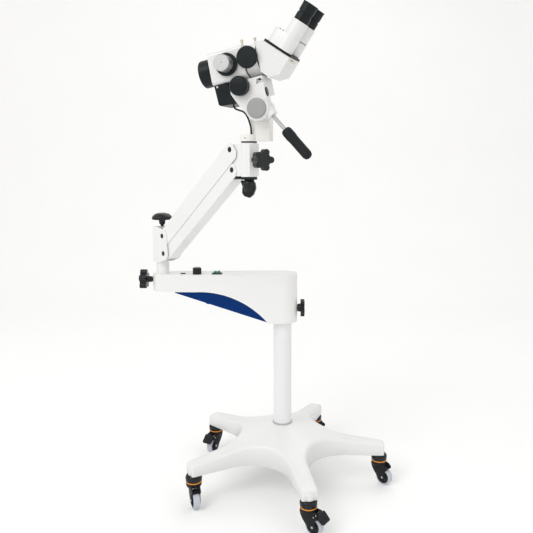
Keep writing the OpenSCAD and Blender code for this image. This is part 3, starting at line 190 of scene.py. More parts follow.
for name, spot, size, power in lamps:
    lamp = bpy.data.objects.new(name, bpy.data.lights.new(name, "AREA"))
    lamp.data.size = size
    lamp.data.energy = power
    lamp.location = spot
    lamp.rotation_euler = (aim - Vector(spot)).to_track_quat("-Z", "Y").to_euler()
    bpy.context.scene.collection.objects.link(lamp)


# Swing housing and arm: sheet metal and castings under one white powder coat, a satin paint with a
# fine orange peel. Their edges are rounded off before they are painted, most of all round the
# housing's top and bottom.
def powder_coat(place):
    cloud = place.noise(9.0, 3.0)
    peel = place.noise(900.0, 1.0)
    return {"Base Color": cloud.mix((0.85, 0.85, 0.84), (0.89, 0.89, 0.88)),
            "Roughness": cloud * 0.12 + 0.30, "Normal": place.bump(peel, 0.00006)}


def place_piece(name, shape, material, body, smooth=40):
    """Makes an object of a bmesh, shades it by angle, and rides it on its body, if it has one."""
    bmesh.ops.recalc_face_normals(shape, faces=shape.faces)
    for edge in shape.edges:
        edge.smooth = edge.calc_face_angle(0) < math.radians(smooth)
    for face in shape.faces:
        face.smooth = True
    mesh = bpy.data.meshes.new(name)
    shape.to_mesh(mesh)
    shape.free()
    mesh.materials.append(material)
    piece = bpy.data.objects.new(name, mesh)
    bpy.context.scene.collection.objects.link(piece)
    if body:
        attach(piece, body)
    return piece


def soften(node, radius, material, body, chosen=None, segments=3, shaped=None):
    """Stands a copy of the node in its place, its sharp edges rounded as casting leaves them."""
    shape = bmesh.new()
    shape.from_mesh(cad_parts[node].data)
    bmesh.ops.remove_doubles(shape, verts=shape.verts, dist=0.00002)
    bmesh.ops.dissolve_limit(shape, angle_limit=math.radians(0.5), verts=shape.verts,
                             edges=shape.edges)
    if shaped:
        for vert in shape.verts:
            vert.co = shaped(vert.co)
    sharp = [e for e in shape.edges if e.is_manifold and e.calc_face_angle(0) > math.radians(35)]
    if chosen:
        sharp = [e for e in sharp if chosen(e)]
    bmesh.ops.bevel(shape, geom=sharp, offset=radius, segments=segments, profile=0.5,
                    affect="EDGES", clamp_overlap=True, material=-1)
    piece = place_piece(node + "_soft", shape, material, body)
    even = piece.modifiers.new("even_shading", "WEIGHTED_NORMAL")
    even.keep_sharp = True
    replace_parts(piece, node)


housing_top_z = 0.653
housing_arch_z = 0.63


def rim_of_housing(edge):
    """The edges round the housing's flat top, and those at its lower end."""
    top = all(abs(v.co.z - housing_top_z) < 0.0003 for v in edge.verts)
    return top or all(v.co.z < housing_arch_z for v in edge.verts)


white_powder = finish_of("white_powder", powder_coat, 0.36, coat=0.15)
soften("swing_housing", 0.005, white_powder, "housing", chosen=rim_of_housing)
soften("post_fork", 0.002, white_powder, "post")
soften("upper_link", 0.0018, white_powder, "upper_link")
soften("lower_link", 0.0018, white_powder, "lower_link")
soften("head_bracket", 0.0035, white_powder, "arm_head")

# Base: one aluminium casting with five legs, powder coated. Its walls stand open below, its upper
# edges are rounded, and its top falls from the column to the legs' ends. Round bosses under the
# legs hold the five castor stems.
leg_angles = [211.5 + 72 * leg for leg in range(5)]
castor_circle = 0.300
leg_end = 0.314
leg_end_half = 0.022
leg_root = 0.196
leg_root_half = 0.0266
bay_centre = 0.2486
bay_radius = 0.1196
bay_half_turn = math.radians(51.8)
bay_steps = 24
corner_r = 0.006
wall_low = 0.095
wall = 0.008
crown_edge = 0.009
crown_low = 0.129
crown_rise = 0.055
column_r = 0.0276
foot_r = 0.031
boss_ring = 0.040
top_steps = 20
under_steps = 8


def crown(distance):
    """Height of the casting's top at this distance from the column."""
    share = min(1.0, max(0.0, (distance - 0.030) / 0.284))
    return crown_low + crown_rise * (1 - share) ** 1.7


def leg_side(inset):
    """One leg's outline along +X, from its root round its end and back."""
    end, half = leg_end - inset, leg_end_half - inset
    side = [(leg_root, inset - leg_root_half), (end - corner_r, -half)]
    for step in range(1, 5):
        turn = step * math.pi / 8
        side.append((end - corner_r + corner_r * math.sin(turn),
                     corner_r - half - corner_r * math.cos(turn)))
    return side + [(x, -y) for x, y in reversed(side)]


def outline(inset, height):
    """Points round all five legs, drawn in by inset, each at the height for its distance."""
    flat = []
    for leg in leg_angles:
        turn = math.radians(leg)
        flat += [(x * math.cos(turn) - y * math.sin(turn), x * math.sin(turn) + y * math.cos(turn))
                 for x, y in leg_side(inset)]
        bay = turn + math.radians(36)
        for step in range(1, bay_steps):
            a = bay + math.pi + bay_half_turn * (1 - 2 * step / bay_steps)
            flat.append((bay_centre * math.cos(bay) + (bay_radius + inset) * math.cos(a),
                         bay_centre * math.sin(bay) + (bay_radius + inset) * math.sin(a)))
    return [(x, y, height(math.hypot(x, y))) for x, y in flat]


def drawn_in(row, radius, share, height):
    """The row moved towards a circle round the column by this share of the way."""
    moved = []
    for x, y, z in row:
        far = math.hypot(x, y)
        near = far + (radius - far) * share
        moved.append((x * near / far, y * near / far, height(near)))
    return moved


def skin(shape, rows):
    """Extrudes a closed loop of points through all the rows, and closes its first and last."""
    ring = [shape.verts.new(point) for point in rows[0]]
    loop = [shape.edges.new(pair) for pair in zip(ring, ring[1:] + ring[:1])]
    bmesh.ops.contextual_create(shape, geom=loop)
    for row in rows[1:]:
        made = set(bmesh.ops.extrude_edge_only(shape, edges=loop)["geom"])
        ring = [next(e.other_vert(v) for e in v.link_edges if e.other_vert(v) in made)
                for v in ring]
        for vert, point in zip(ring, row):
            vert.co = point
        loop = [e for e in made if isinstance(e, bmesh.types.BMEdge) and set(e.verts) <= made]
    bmesh.ops.contextual_create(shape, geom=loop)


outside = [outline(0.001, lambda d: wall_low - 0.001), outline(0, lambda d: wall_low),
           outline(0, lambda d: crown(d) - crown_edge)]
for step in range(1, 6):
    turn = step * math.pi / 10
    outside.append(outline(crown_edge * (1 - math.cos(turn)),
                           lambda d: crown(d) - crown_edge + crown_edge * math.sin(turn)))
rim = outside[-1]
outside += [drawn_in(rim, foot_r, step / top_steps, crown) for step in range(1, top_steps + 1)]
outside.append(drawn_in(rim, column_r, 1, lambda d: crown_low + crown_rise))
outside.append(drawn_in(rim, column_r, 1, lambda d: 0.104))
inside = [outline(wall - 0.001, lambda d: wall_low - 0.001), outline(wall, lambda d: wall_low),
          outline(wall, lambda d: crown(d) - wall)]
inside += [drawn_in(inside[2], boss_ring, 1 - step / under_steps, lambda d: crown(d) - wall)
           for step in range(under_steps - 1, -1, -1)]
inside.append([(x, y, wall_low - 0.001) for x, y, z in inside[-1]])
shape = bmesh.new()
skin(shape, inside[::-1] + outside)
for leg in leg_angles:
    a = math.radians(leg)
    spot = (castor_circle * math.cos(a), castor_circle * math.sin(a), 0.107)
    bmesh.ops.create_cone(shape, segments=32, radius1=0.016, radius2=0.016, depth=0.0255,
                          cap_ends=True, matrix=Matrix.Translation(spot))
base = place_piece("base_shell", shape, white_powder, "stand", smooth=50)
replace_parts(base, "base_casting")


# Column: a drawn aluminium tube with a clear pale grey finish, pressed into the base. The lines
# that drawing leaves run along it.
def drawn_tube(place):
    along = place.node("VectorMath", {0: place, 1: (600.0, 600.0, 6.0)}, operation="MULTIPLY")
    lines = along.noise(1.0, 3.0)
    return {"Base Color": lines.mix((0.83, 0.835, 0.84), (0.88, 0.885, 0.89)),
            "Roughness": lines * 0.1 + 0.26}


def dress(material, *nodes):
    """Gives CAD nodes their material."""
    for name in nodes:
        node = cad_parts[name]
        node.data.materials.clear()
        node.data.materials.append(material)


dress(finish_of("column_finish", drawn_tube, 0.3, coat=0.2), "column")


# Hand knobs, switch frame and mains inlet: mouldings in a slightly glossy hard black plastic. The
# knobs' edges are well rounded for the hand, and each sits on a steel stud. The knob at the post
# has a thinner head on a longer neck.
def black_moulding(place):
    grain = place.noise(700.0, 2.0)
    haze = place.noise(30.0, 2.0)
    return {"Base Color": haze.mix((0.006, 0.008, 0.009), (0.013, 0.016, 0.018)),
            "Roughness": haze * 0.15 + 0.22, "Normal": place.bump(grain, 0.00004)}


post_knob_face_x = -0.4053
post_knob_thinned = Vector((0.0058, 0, 0))


def thinner_head(co):
    return co - post_knob_thinned if abs(co.x - post_knob_face_x) < 0.0004 else co


black_plastic = finish_of("black_moulding", black_moulding, 0.3, coat=0.25, shine=0.2)
dress(black_plastic, "switch_bezel", "power_inlet")
for knob, radius, segments, shaped in (("column_clamp_knob", 0.0030, 4, None),
                                       ("post_clamp_knob", 0.0045, 4, thinner_head),
                                       ("head_clamp_knob", 0.0045, 4, None),
                                       ("tension_knob", 0.0020, 3, None),
                                       ("wing_knob", 0.0020, 3, None),
                                       ("brightness_knob", 0.0010, 3, None)):
    soften(knob, radius, black_plastic, knob, segments=segments, shaped=shaped)


# Castor caps: black domed mouldings pushed over the stems, between the legs and the dust rings.
# They are turned shapes, fattest at half their height.
def turned(profile, matrix, steps=40):
    """A lathe part: the profile of (radius, height) points spun round the local Z axis."""
    shape = bmesh.new()
    points = [shape.verts.new((r, 0, z)) for r, z in profile]
    line = [shape.edges.new(pair) for pair in zip(points, points[1:])]
    bmesh.ops.spin(shape, geom=points + line, cent=(0, 0, 0), axis=(0, 0, 1),
                   angle=2 * math.pi, steps=steps, use_merge=True, use_duplicate=False)
    bmesh.ops.remove_doubles(shape, verts=shape.verts, dist=0.00001)
    bmesh.ops.transform(shape, matrix=matrix, verts=shape.verts)
    return shape


def joined(parts):
    """One shape out of several."""
    whole = bmesh.new()
    for part in parts:
        mesh = bpy.data.meshes.new("part")
        part.to_mesh(mesh)
        whole.from_mesh(mesh)
        part.free()
        bpy.data.meshes.remove(mesh)
    return whole


stems = [Matrix.Rotation(math.radians(leg), 4, "Z") @ Matrix.Translation((castor_circle, 0, 0))
         for leg in leg_angles]
cap_profile = [(0, 0.0750), (0.0225, 0.0750), (0.0232, 0.0775), (0.0239, 0.0815),
               (0.0240, 0.0850), (0.0234, 0.0885), (0.0218, 0.0915), (0.0190, 0.0935),
               (0.0055, 0.0942), (0.0055, 0.1060), (0, 0.1060)]
caps = joined([turned(cap_profile, stem, 48) for stem in stems])
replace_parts(place_piece("caps", caps, black_plastic, "stand"), "castor_caps")

# Pivot caps: black plastic plugs pressed over the ends of the four pivot pins, on both sides of
# the arm. Each is a low turned disc with a rounded rim.
post_yaw = -46
post_x = -0.363
link_length = 0.401
link_slope = math.radians(38.6)
arm_out = link_length * math.cos(link_slope)
arm_up = link_length * math.sin(link_slope)
upper_pivot = (0.035, 0.771)
lower_pivot = (0.040, 0.719)
fork_half = 0.0248
upper_head_half = 0.0205
lower_head_half = 0.0180
post_frame = (Matrix.Translation((post_x, 0, 0))
              @ Matrix.Rotation(math.radians(post_yaw), 4, "Z"))
plug_profile = [(0, 0.0012), (0.0056, 0.0011), (0.0068, 0.0007), (0.0072, 0.0),
                (0.0072, -0.0004), (0, -0.0004)]


def pivot_plugs(out, up, half):
    return [turned(plug_profile, post_frame @ Matrix.Translation((out, side * half, up))
                   @ Matrix.Rotation(-side * math.pi / 2, 4, "X")) for side in (-1, 1)]


fork_plugs = pivot_plugs(*upper_pivot, fork_half) + pivot_plugs(*lower_pivot, fork_half)
head_plugs = (pivot_plugs(upper_pivot[0] + arm_out, upper_pivot[1] + arm_up, upper_head_half)
              + pivot_plugs(lower_pivot[0] + arm_out, lower_pivot[1] + arm_up, lower_head_half))
place_piece("fork_pivot_caps", joined(fork_plugs), black_plastic, "post")
place_piece("head_pivot_caps", joined(head_plugs), black_plastic, "arm_head")


# Slide in the slot left of the brightness knob: a small black plastic button that stands out of
# its recess in the housing's top, so that a finger can push it.
def moulded_block(spot, size, corner):
    """A block with rounded edges: size along X, Y and Z, moved and turned by spot."""
    block = bmesh.new()
    bmesh.ops.create_cube(block, size=1, matrix=spot @ Matrix.Diagonal((*size, 1)))
    bmesh.ops.bevel(block, geom=block.edges[:], offset=corner, segments=2, profile=0.5,
                    affect="EDGES", material=-1)
    return block


button = moulded_block(Matrix.Translation((-0.300, -0.016, 0.65375)),
                       (0.0150, 0.0034, 0.0043), 0.0005)
place_piece("slot_button", button, black_plastic, "housing")


# Castor forks and brake pedals: one moulding each in glass-filled nylon, duller than the knobs. A
# fork has a round crown, two teardrop cheeks that trail back to the axle, and a hood over the
# wheel. The two braked ones carry lugs for the pedal's hinge.
def nylon(place):
    speckle = place.noise(450.0, 3.0)
    return {"Base Color": speckle.mix((0.008, 0.009, 0.010), (0.020, 0.021, 0.023)),
            "Roughness": speckle * 0.2 + 0.42, "Normal": place.bump(speckle, 0.0001)}


def plate(line, near, far, corner):
    """A moulded plate: the outline in XZ, extruded from y = near to far, its rims rounded."""
    shape = bmesh.new()
    face = shape.faces.new([shape.verts.new((x, near, z)) for x, z in line])
    made = bmesh.ops.extrude_face_region(shape, geom=[face])
    ends = [v for v in made["geom"] if isinstance(v, bmesh.types.BMVert)]
    bmesh.ops.translate(shape, vec=(0, far - near, 0), verts=ends)
    bmesh.ops.recalc_face_normals(shape, faces=shape.faces)
    rims = [e for e in shape.edges if abs(e.verts[0].co.y - e.verts[1].co.y) < 0.00001]
    bmesh.ops.bevel(shape, geom=rims, offset=corner, segments=2, profile=0.5,
                    affect="EDGES", clamp_overlap=True, material=-1)
    return shape


def arc_line(centre, inner, outer, start, stop, steps=14):
    """Outline of a curved band round a centre, between two radii and two angles in degrees."""
    turns = [math.radians(start + (stop - start) * k / steps) for k in range(steps + 1)]
    line = [(centre[0] + outer * math.cos(t), centre[1] + outer * math.sin(t)) for t in turns]
    return line + [(centre[0] + inner * math.cos(t), centre[1] + inner * math.sin(t))
                   for t in reversed(turns)]


castor_turns = [-70, -35, -40, 20, -120]
braked = (2, 5)
castor_frames = [stem @ Matrix.Rotation(math.radians(turn - leg), 4, "Z")
                 for stem, leg, turn in zip(stems, leg_angles, castor_turns)]
axle = (0.019, 0.025)
hinge = (0.031, 0.062)
cheek_in, cheek_out = 0.0101, 0.0131
lug_in, lug_out = 0.0100, 0.0128
lug_r = 0.006
hood_in, hood_out, hood_half = 0.0268, 0.0295, 0.0112
crown_line = [(0, 0.0715), (0.0215, 0.0715), (0.0225, 0.0705), (0.0225, 0.0640),
              (0.0210, 0.0600), (0.0150, 0.0565), (0, 0.0565)]
cheek_line = [(-0.0200, 0.0660), (-0.0205, 0.0600), (-0.0175, 0.0500), (-0.0110, 0.0390),
              (-0.0030, 0.0295), (0.0050, 0.0205), (0.0100, 0.0155), (0.0160, 0.0130),
              (0.0220, 0.0130), (0.0275, 0.0160), (0.0305, 0.0215), (0.0305, 0.0290),
              (0.0270, 0.0380), (0.0275, 0.0450), (0.0335, 0.0490), (0.0360, 0.0520),
              (0.0345, 0.0580), (0.0280, 0.0640), (0.0200, 0.0670)]
lug_line = (arc_line(hinge, 0.0, lug_r, -200, 60)[:15]
            + [(0.0170, 0.0690), (0.0180, 0.0590)])
hood_line = arc_line(axle, hood_in, hood_out, 62, 150)
black_nylon = finish_of("black_nylon", nylon, 0.5, shine=0.2)
for number in braked:
    soften(f"brake_pedal_{number}", 0.0012, black_nylon, f"pedal_{number}",
           segments=2)
for number, spot in enumerate(castor_frames, 1):
    parts = [turned(crown_line, Matrix.Identity(4), 48)]
    for side in (-1, 1):
        parts.append(plate(cheek_line, side * cheek_in, side * cheek_out, 0.0009))
        if number in braked:
            parts.append(plate(lug_line, side * lug_in, side * lug_out, 0.0006))
    parts.append(plate(hood_line, -hood_half, hood_half, 0.0006))
    shape = joined(parts)
    bmesh.ops.transform(shape, matrix=spot, verts=shape.verts)
    fork = place_piece(f"fork_{number}", shape, black_nylon, f"castor_{number}")
    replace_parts(fork, f"castor_fork_{number}")


# Dust rings: an orange moulded ring under each castor cap, which keeps hair and dirt out of the
# swivel bearing. Their rims are rounded.
def orange_ring(place):
    haze = place.noise(60.0)
    return {"Base Color": haze.mix((0.80, 0.26, 0.02), (0.92, 0.36, 0.04)),
            "Roughness": haze * 0.2 + 0.3}


ring_profile = [(0.0146, 0.0718), (0.0225, 0.0718), (0.0234, 0.0723), (0.0237, 0.0734),
                (0.0234, 0.0745), (0.0225, 0.0750), (0.0146, 0.0750), (0.0146, 0.0718)]
rings = joined([turned(ring_profile, stem, 48) for stem in stems])
orange = finish_of("orange_ring", orange_ring, 0.4)
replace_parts(place_piece("dust_rings", rings, orange, "stand"), "castor_rings")


# Collar at the foot of the column: a pale grey moulded ring that covers the joint between the tube
# and the casting. It is slipped over the tube.
def grey_collar(place):
    haze = place.noise(60.0)
    return {"Base Color": haze.mix((0.40, 0.41, 0.42), (0.50, 0.51, 0.52)),
            "Roughness": haze * 0.2 + 0.35}


dress(finish_of("grey_collar", grey_collar, 0.4), "column_collar")

# Castor wheels: a pale blue-grey rubber tread, moulded round a black hub and turning on a steel
# axle. The tread is everything farther from the axle than the hub's rim.
hub_rim_r = 0.0197
for number, (spot, turn) in enumerate(zip(castor_frames, castor_turns), 1):
    hub = spot @ Vector((axle[0], 0, axle[1]))
    along = Vector((-math.sin(math.radians(turn)), math.cos(math.radians(turn)), 0))

    def tread(place, hub=hub, along=along):
        out = place.node("VectorMath", {0: place, 1: hub}, operation="SUBTRACT")
        side = out.node("VectorMath", {0: out, 1: along}, out="Value", operation="DOT_PRODUCT")
        length = out.node("VectorMath", {0: out}, out="Value", operation="LENGTH")
        radius = (length * length - side * side).sum("SQRT")
        dust = place.noise(120.0, 3.0)
        black = dust.mix((0.03, 0.03, 0.033), (0.06, 0.06, 0.062))
        rubber = dust.mix((0.50, 0.52, 0.60), (0.60, 0.62, 0.69))
        return {"Base Color": (radius > hub_rim_r).mix(black, rubber),
                "Roughness": dust * 0.2 + 0.4}

    dress(finish_of(f"wheel_{number}", tread, 0.5), f"castor_wheel_{number}")


# Blue cover under the housing: a deep blue moulding with a grained face, which closes the arch. Two
# small lugs on its lower front edge snap into the housing.
def blue_moulding(place):
    haze = place.noise(25.0, 3.0)
    grain = place.noise(500.0, 2.0)
    return {"Base Color": haze.mix((0.0, 0.022, 0.13), (0.001, 0.036, 0.18)),
            "Roughness": haze * 0.15 + 0.45, "Normal": place.bump(grain, 0.0001)}


blue = finish_of("blue_cover", blue_moulding, 0.5, shine=0.1)
dress(blue, "housing_trim")
edge_slope = Matrix.Rotation(math.radians(15.5), 4, "Y")
clips = [moulded_block(Matrix.Translation(spot) @ edge_slope, (long, 0.005, 0.0045), 0.0008)
         for spot, long in (((-0.2246, -0.0325, 0.5668), 0.010),
                            ((-0.0720, -0.0388, 0.5215), 0.020))]
place_piece("cover_clips", joined(clips), blue, "housing")


# Rocker of the mains switch: a glossy green plastic key in its black frame, which glows when the
# light source is on. Its upper half stands well out of the frame.
def green_rocker(place):
    haze = place.noise(200.0)
    return {"Base Color": haze.mix((0.0, 0.17, 0.06), (0.01, 0.28, 0.10)),
            "Roughness": haze * 0.1 + 0.2}


frame_top_z = 0.6545
key_top_z = 0.6590


def raised_key(co):
    if co.z < frame_top_z:
        return Vector(co)
    return Vector((co.x, co.y, key_top_z + 0.65 * (co.z - frame_top_z)))


soften("switch_rocker", 0.0008, finish_of("green_rocker", green_rocker, 0.25),
       "switch_rocker", shaped=raised_key)


# Pivot pins and spring: blackened steel pins through the fork and the bracket, and the bright
# steel cartridge whose spring balances the arm. They are turned parts.
def dark_steel(place):
    haze = place.noise(300.0, 3.0)
    return {"Base Color": haze.mix((0.05, 0.05, 0.052), (0.10, 0.10, 0.103)),
            "Roughness": haze * 0.2 + 0.28}


def bright_steel(place):
    haze = place.noise(250.0, 3.0)
    return {"Base Color": haze.mix((0.50, 0.50, 0.51), (0.64, 0.64, 0.65)),
            "Roughness": haze * 0.15 + 0.25}


dress(finish_of("dark_steel", dark_steel, 0.35, metallic=0.9), "post_pins", "head_pins")
dress(finish_of("bright_steel", bright_steel, 0.3, metallic=1.0), "balance_spring")


# Yoke: an aluminium casting, painted in a warmer, more yellow white than the arm. It turns on the
# arm's head and carries the tilt hub.
def ivory_paint(place):
    cloud = place.noise(20.0, 3.0)
    peel = place.noise(800.0, 1.0)
    return {"Base Color": cloud.mix((0.87, 0.855, 0.82), (0.91, 0.895, 0.86)),
            "Roughness": cloud * 0.1 + 0.28, "Normal": place.bump(peel, 0.00006)}


ivory = finish_of("ivory_paint", ivory_paint, 0.33, coat=0.2)
soften("yoke", 0.0022, ivory, "yoke")


# Microscope housings: machined aluminium under a smoother white lacquer. The inclined block's
# edges are rounded most, where it is cast.
def white_lacquer(place):
    cloud = place.noise(18.0, 3.0)
    peel = place.noise(1200.0, 1.0)
    return {"Base Color": cloud.mix((0.78, 0.78, 0.77), (0.83, 0.83, 0.82)),
            "Roughness": cloud * 0.1 + 0.22, "Normal": place.bump(peel, 0.00003)}


lacquer = finish_of("white_lacquer", white_lacquer, 0.27, coat=0.3)
for housing, radius, body in (("focus_carrier", 0.0020, "carrier"),
                              ("microscope_body", 0.0014, "microscope"),
                              ("beam_splitter", 0.0010, "microscope"),
                              ("binocular_base", 0.0065, "microscope"),
                              ("prism_left", 0.0030, "prism_left"),
                              ("prism_right", 0.0030, "prism_right")):
    soften(housing, radius, lacquer, body)


# Dark metal of the head: turned rings, caps, knobs and eyepieces in black anodised aluminium, and
# the folded sheet of the lamp housing in the same black.
def black_anodised(place):
    haze = place.noise(90.0, 3.0)
    return {"Base Color": haze.mix((0.006, 0.009, 0.010), (0.014, 0.018, 0.019)),
            "Roughness": haze * 0.15 + 0.24}


anodised = finish_of("black_anodised", black_anodised, 0.35, shine=0.2)
dress(anodised, "stop_bar", "spindle_disc", "swivel_washer")
for part, radius, body in (("lamp_housing", 0.0020, "carrier"),
                           ("focus_knob", 0.0025, "focus_knob"),
                           ("port_cap", 0.0012, "microscope"),
                           ("objective_ring", 0.0012, "microscope"),
                           ("binocular_plate", 0.0006, "microscope"),
                           ("mag_scale_ring", 0.0008, "microscope"),
                           ("eyepiece_left", 0.0006, "eyepiece_left"),
                           ("eyepiece_right", 0.0006, "eyepiece_right")):
    soften(part, radius, anodised, body)

# Seams of the optics: a thin black anodised band where the beam splitter meets the body, and
# another where the inclined block is clamped to it. Both stand a hair proud. Their black is painted
# shade: it stands for the dark gap in each joint.
head_yaw = -18.5
tilt_height = 0.8698 + arm_up
head_reach = 0.088 + arm_out
head_frame = Matrix.Translation((post_x + head_reach * math.cos(math.radians(-post_yaw)),
                                 -head_reach * math.sin(math.radians(-post_yaw)), 0))
hub_frame = (head_frame @ Matrix.Rotation(math.radians(head_yaw), 4, "Z")
             @ Matrix.Translation((0, 0, tilt_height)))
scope_frame = (hub_frame @ Matrix.Translation((0.038, 0, 0))
               @ Matrix.Rotation(math.radians(-11.5), 4, "Y"))
optic_up = 0.121
seam_shade_profile = [(0.0409, -0.0015), (0.0424, -0.0015), (0.0430, -0.0009), (0.0430, 0.0009),
                (0.0424, 0.0015), (0.0409, 0.0015), (0.0409, -0.0015)]
facing_back = Matrix.Rotation(math.pi / 2, 4, "Y")
seam_shade_bands = [turned(seam_shade_profile,
                scope_frame @ Matrix.Translation((seam, 0, optic_up)) @ facing_back, 72)
         for seam in (-0.0116, 0.0242)]
place_piece("optic_seam_shade", joined(seam_shade_bands), anodised, "microscope")

# Plug on the carrier's right flank, over the end of the focusing rail: a black moulded disc with
# a rounded rim, pressed into its hole.
disc_profile = [(0, 0.0016), (0.0100, 0.0015), (0.0114, 0.0009), (0.0118, 0.0),
                (0.0118, -0.0006), (0, -0.0006)]
plug = turned(disc_profile,
              scope_frame @ Matrix.Translation((0.028, -0.0275, 0.036)) @ facing_back)
place_piece("carrier_plug", plug, black_plastic, "carrier")


# Bare metal of the head: the handle's rod and the knurled magnification knob in satin aluminium,
# and the cap on the tilt hub, a blasted disc in a duller, darker grey.
def satin_aluminium(place):
    haze = place.noise(160.0, 3.0)
    return {"Base Color": haze.mix((0.50, 0.505, 0.50), (0.64, 0.64, 0.635)),
            "Roughness": haze * 0.15 + 0.3}


def blasted_grey(place):
    speckle = place.noise(380.0, 3.0)
    return {"Base Color": speckle.mix((0.31, 0.31, 0.305), (0.39, 0.39, 0.38)),
            "Roughness": speckle * 0.15 + 0.5}


dress(finish_of("satin_aluminium", satin_aluminium, 0.35, metallic=0.85),
      "handle_rod", "mag_knob")
dress(finish_of("blasted_grey", blasted_grey, 0.55, metallic=0.3), "tilt_cap")


# Grip of the handle: black rubber, moulded round the end of the rod, with a fine matt grain that
# keeps it from slipping in a gloved hand.
def black_rubber(place):
    speckle = place.noise(350.0, 3.0)
    return {"Base Color": speckle.mix((0.010, 0.012, 0.013), (0.020, 0.022, 0.024)),
            "Roughness": speckle * 0.15 + 0.5, "Normal": place.bump(speckle, 0.00008)}


rubber = finish_of("black_rubber", black_rubber, 0.55, shine=0.2)
dress(rubber, "handle_grip")

# Lamp cable: a thin rubber lead, held in the lamp housing and at the yoke's foot.
cable_r = 0.0023
millimetres = [(-33, -20, 11.4), (-31.5, -20, 6), (-26, -20, 1), (-18, -20, -2), (-9, -20, -5),
               (-2, -20, -10), (3, -20, -17), (7, -19, -26), (10, -18, -36), (12, -16.5, -46),
               (12, -15, -54), (12, -14, -61.4)]
route = [hub_frame @ (Vector(point) / 1000) for point in millimetres]
line = bpy.data.curves.new("lamp_cable_line", "CURVE")
line.dimensions = "3D"
line.bevel_depth = cable_r
line.bevel_resolution = 3
line.resolution_u = 6
line.use_fill_caps = True
spline = line.splines.new("BEZIER")
spline.bezier_points.add(len(route) - 1)
for knot, point in zip(spline.bezier_points, route):
    knot.co = point
    knot.handle_left_type = knot.handle_right_type = "AUTO"
lead = bmesh.new()
lead.from_mesh(bpy.data.objects.new("lamp_cable_line", line).to_mesh())
bmesh.ops.remove_doubles(lead, verts=lead.verts, dist=0.00001)
cable = place_piece("lamp_lead", lead, rubber, None)
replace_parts(cable, "lamp_cable")
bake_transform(cable)


# Objective lens: ground glass with a bluish coating, cemented into its ring behind the front
# thread. It is nearly smooth, so it mirrors the room.
def coated_lens(place):
    haze = place.noise(20.0)
    return {"Base Color": haze.mix((0.30, 0.38, 0.44), (0.36, 0.44, 0.50)),
            "Roughness": haze * 0.02 + 0.03}


dress(finish_of("coated_lens", coated_lens, 0.05, coat=1.0), "objective_lens")


# Lock screws of the body, the beam splitter and the inclined block: turned brass with a thin
# nickel plating that has worn yellow.
def worn_nickel(place):
    haze = place.noise(260.0)
    return {"Base Color": haze.mix((0.66, 0.60, 0.48), (0.76, 0.71, 0.60)),
            "Roughness": haze * 0.12 + 0.2}


nickel_brass = finish_of("brass", worn_nickel, 0.25, metallic=1.0)
soften("lock_screws", 0.0004, nickel_brass, "microscope", segments=2)

# Axle ends: a bright steel rivet, domed over on both sides of each castor's fork, and two smaller
# pins at the pedal's hinge and its cam.
rivet_r, hinge_pin_r, cam_pin_r = 0.0036, 0.0018, 0.0020
cam = (0.0235, 0.0545)
bright = finish_of("bright_rivets", bright_steel, 0.3, metallic=0.9)
for number, spot in enumerate(castor_frames, 1):
    pins = [(*axle, rivet_r)]
    if number in braked:
        pins += [(*hinge, hinge_pin_r), (*cam, cam_pin_r)]
    ends = []
    for x, z, radius in pins:
        dome = [(0, 0.0014), (radius * 0.6, 0.0012), (radius * 0.92, 0.0006),
                (radius, -0.0004), (0, -0.0004)]
        for side in (-1, 1):
            place = (spot @ Matrix.Translation((x, side * cheek_out, z))
                     @ Matrix.Rotation(-side * math.pi / 2, 4, "X"))
            ends.append(turned(dome, place, 24))
    place_piece(f"axle_ends_{number}", joined(ends), bright, f"castor_{number}")

# Clamp slot in the carrier's upper corner: a thin black plastic plate, cut to the slot's shape and
# laid on the carrier's face. Its black is painted shade for the dark inside of the slot.
slot_shade_line = [(0.0130, 0.0685), (0.0215, 0.0700), (0.0262, 0.0655), (0.0272, 0.0605),
            (0.0235, 0.0595), (0.0205, 0.0630)]
carrier_face = -0.0404
slot_shade_plate = plate(slot_shade_line, carrier_face, carrier_face + 0.0012, 0.0003)
bmesh.ops.transform(slot_shade_plate, matrix=scope_frame, verts=slot_shade_plate.verts)
place_piece("clamp_slot_shade", slot_shade_plate, black_plastic, "carrier")
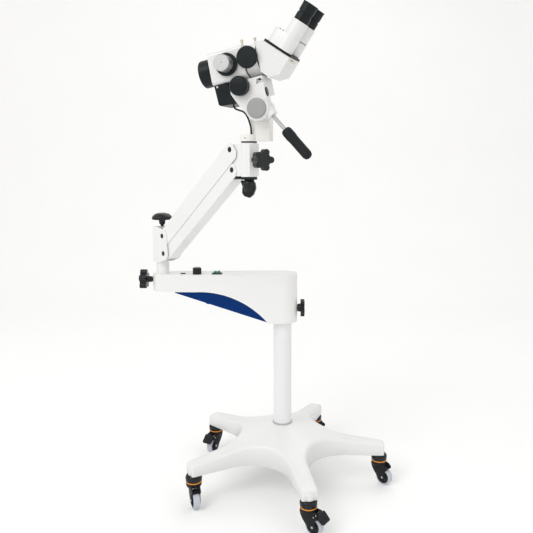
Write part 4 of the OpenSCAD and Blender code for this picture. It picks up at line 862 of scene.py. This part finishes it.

# Two black screws with low round heads on top of each prism housing, beside the eyepiece tube.
# Their black is also painted shade, for the shadowed gap in the corner between the block and the
# tube.
tube_frame = scope_frame @ Matrix.Rotation(math.radians(45), 4, "Y")
corner_shade_profile = [(0, 0.0018), (0.0017, 0.0017), (0.0023, 0.0010), (0.0023, -0.0005),
                (0, -0.0005)]
for prism, side in (("prism_left", 1), ("prism_right", -1)):
    corner_shade_heads = [turned(corner_shade_profile,
                    tube_frame @ Matrix.Translation((across, side * 0.0385, 0.1870)), 24)
             for across in (-0.0455, -0.0540)]
    place_piece(prism + "_screws", joined(corner_shade_heads), black_plastic, prism)

# Set screw in the middle of the magnification knob's face: blackened steel, level with the face.
# It grips the axle inside the knob.
toward_viewer = Matrix.Rotation(math.pi / 2, 4, "X")
set_profile = [(0, 0.0004), (0.0010, 0.0004), (0.0013, 0.0), (0.0013, -0.0004), (0, -0.0004)]
set_screw = turned(set_profile, scope_frame @ Matrix.Translation((-0.0545, -0.0786, 0.1215))
                   @ toward_viewer, 24)
place_piece("mag_screw", set_screw, black_plastic, "mag_knob")


# Small fixing screws: a bright one on the lamp housing, a brass one in the carrier's notch, and a
# black one at the yoke's foot. Each has a low domed head with a slot across it.
def screw_head(radius, spot):
    head = turned([(0, radius * 0.42), (radius * 0.5, radius * 0.36),
                   (radius * 0.88, radius * 0.2), (radius, 0.0),
                   (radius, -0.0006), (0, -0.0006)], Matrix.Identity(4), 24)
    for vert in head.verts:
        if vert.co.z > radius * 0.3 and abs(vert.co.y) < radius * 0.14:
            vert.co.z -= radius * 0.2
    bmesh.ops.transform(head, matrix=spot, verts=head.verts)
    return head


lamp_spot = scope_frame @ Matrix.Translation((-0.0955, -0.0342, 0.0755)) @ toward_viewer
notch_spot = scope_frame @ Matrix.Translation((0.0240, carrier_face, 0.0625)) @ toward_viewer
foot_spot = (head_frame @ Matrix.Rotation(math.radians(-112.4), 4, "Z")
             @ Matrix.Translation((0.0230, 0, 1.0492)) @ facing_back)
place_piece("lamp_screw", screw_head(0.0030, lamp_spot), bright, "carrier")
place_piece("notch_screw", screw_head(0.0024, notch_spot), nickel_brass,
            "carrier")
place_piece("foot_screw", screw_head(0.0016, foot_spot), black_plastic,
            "yoke")
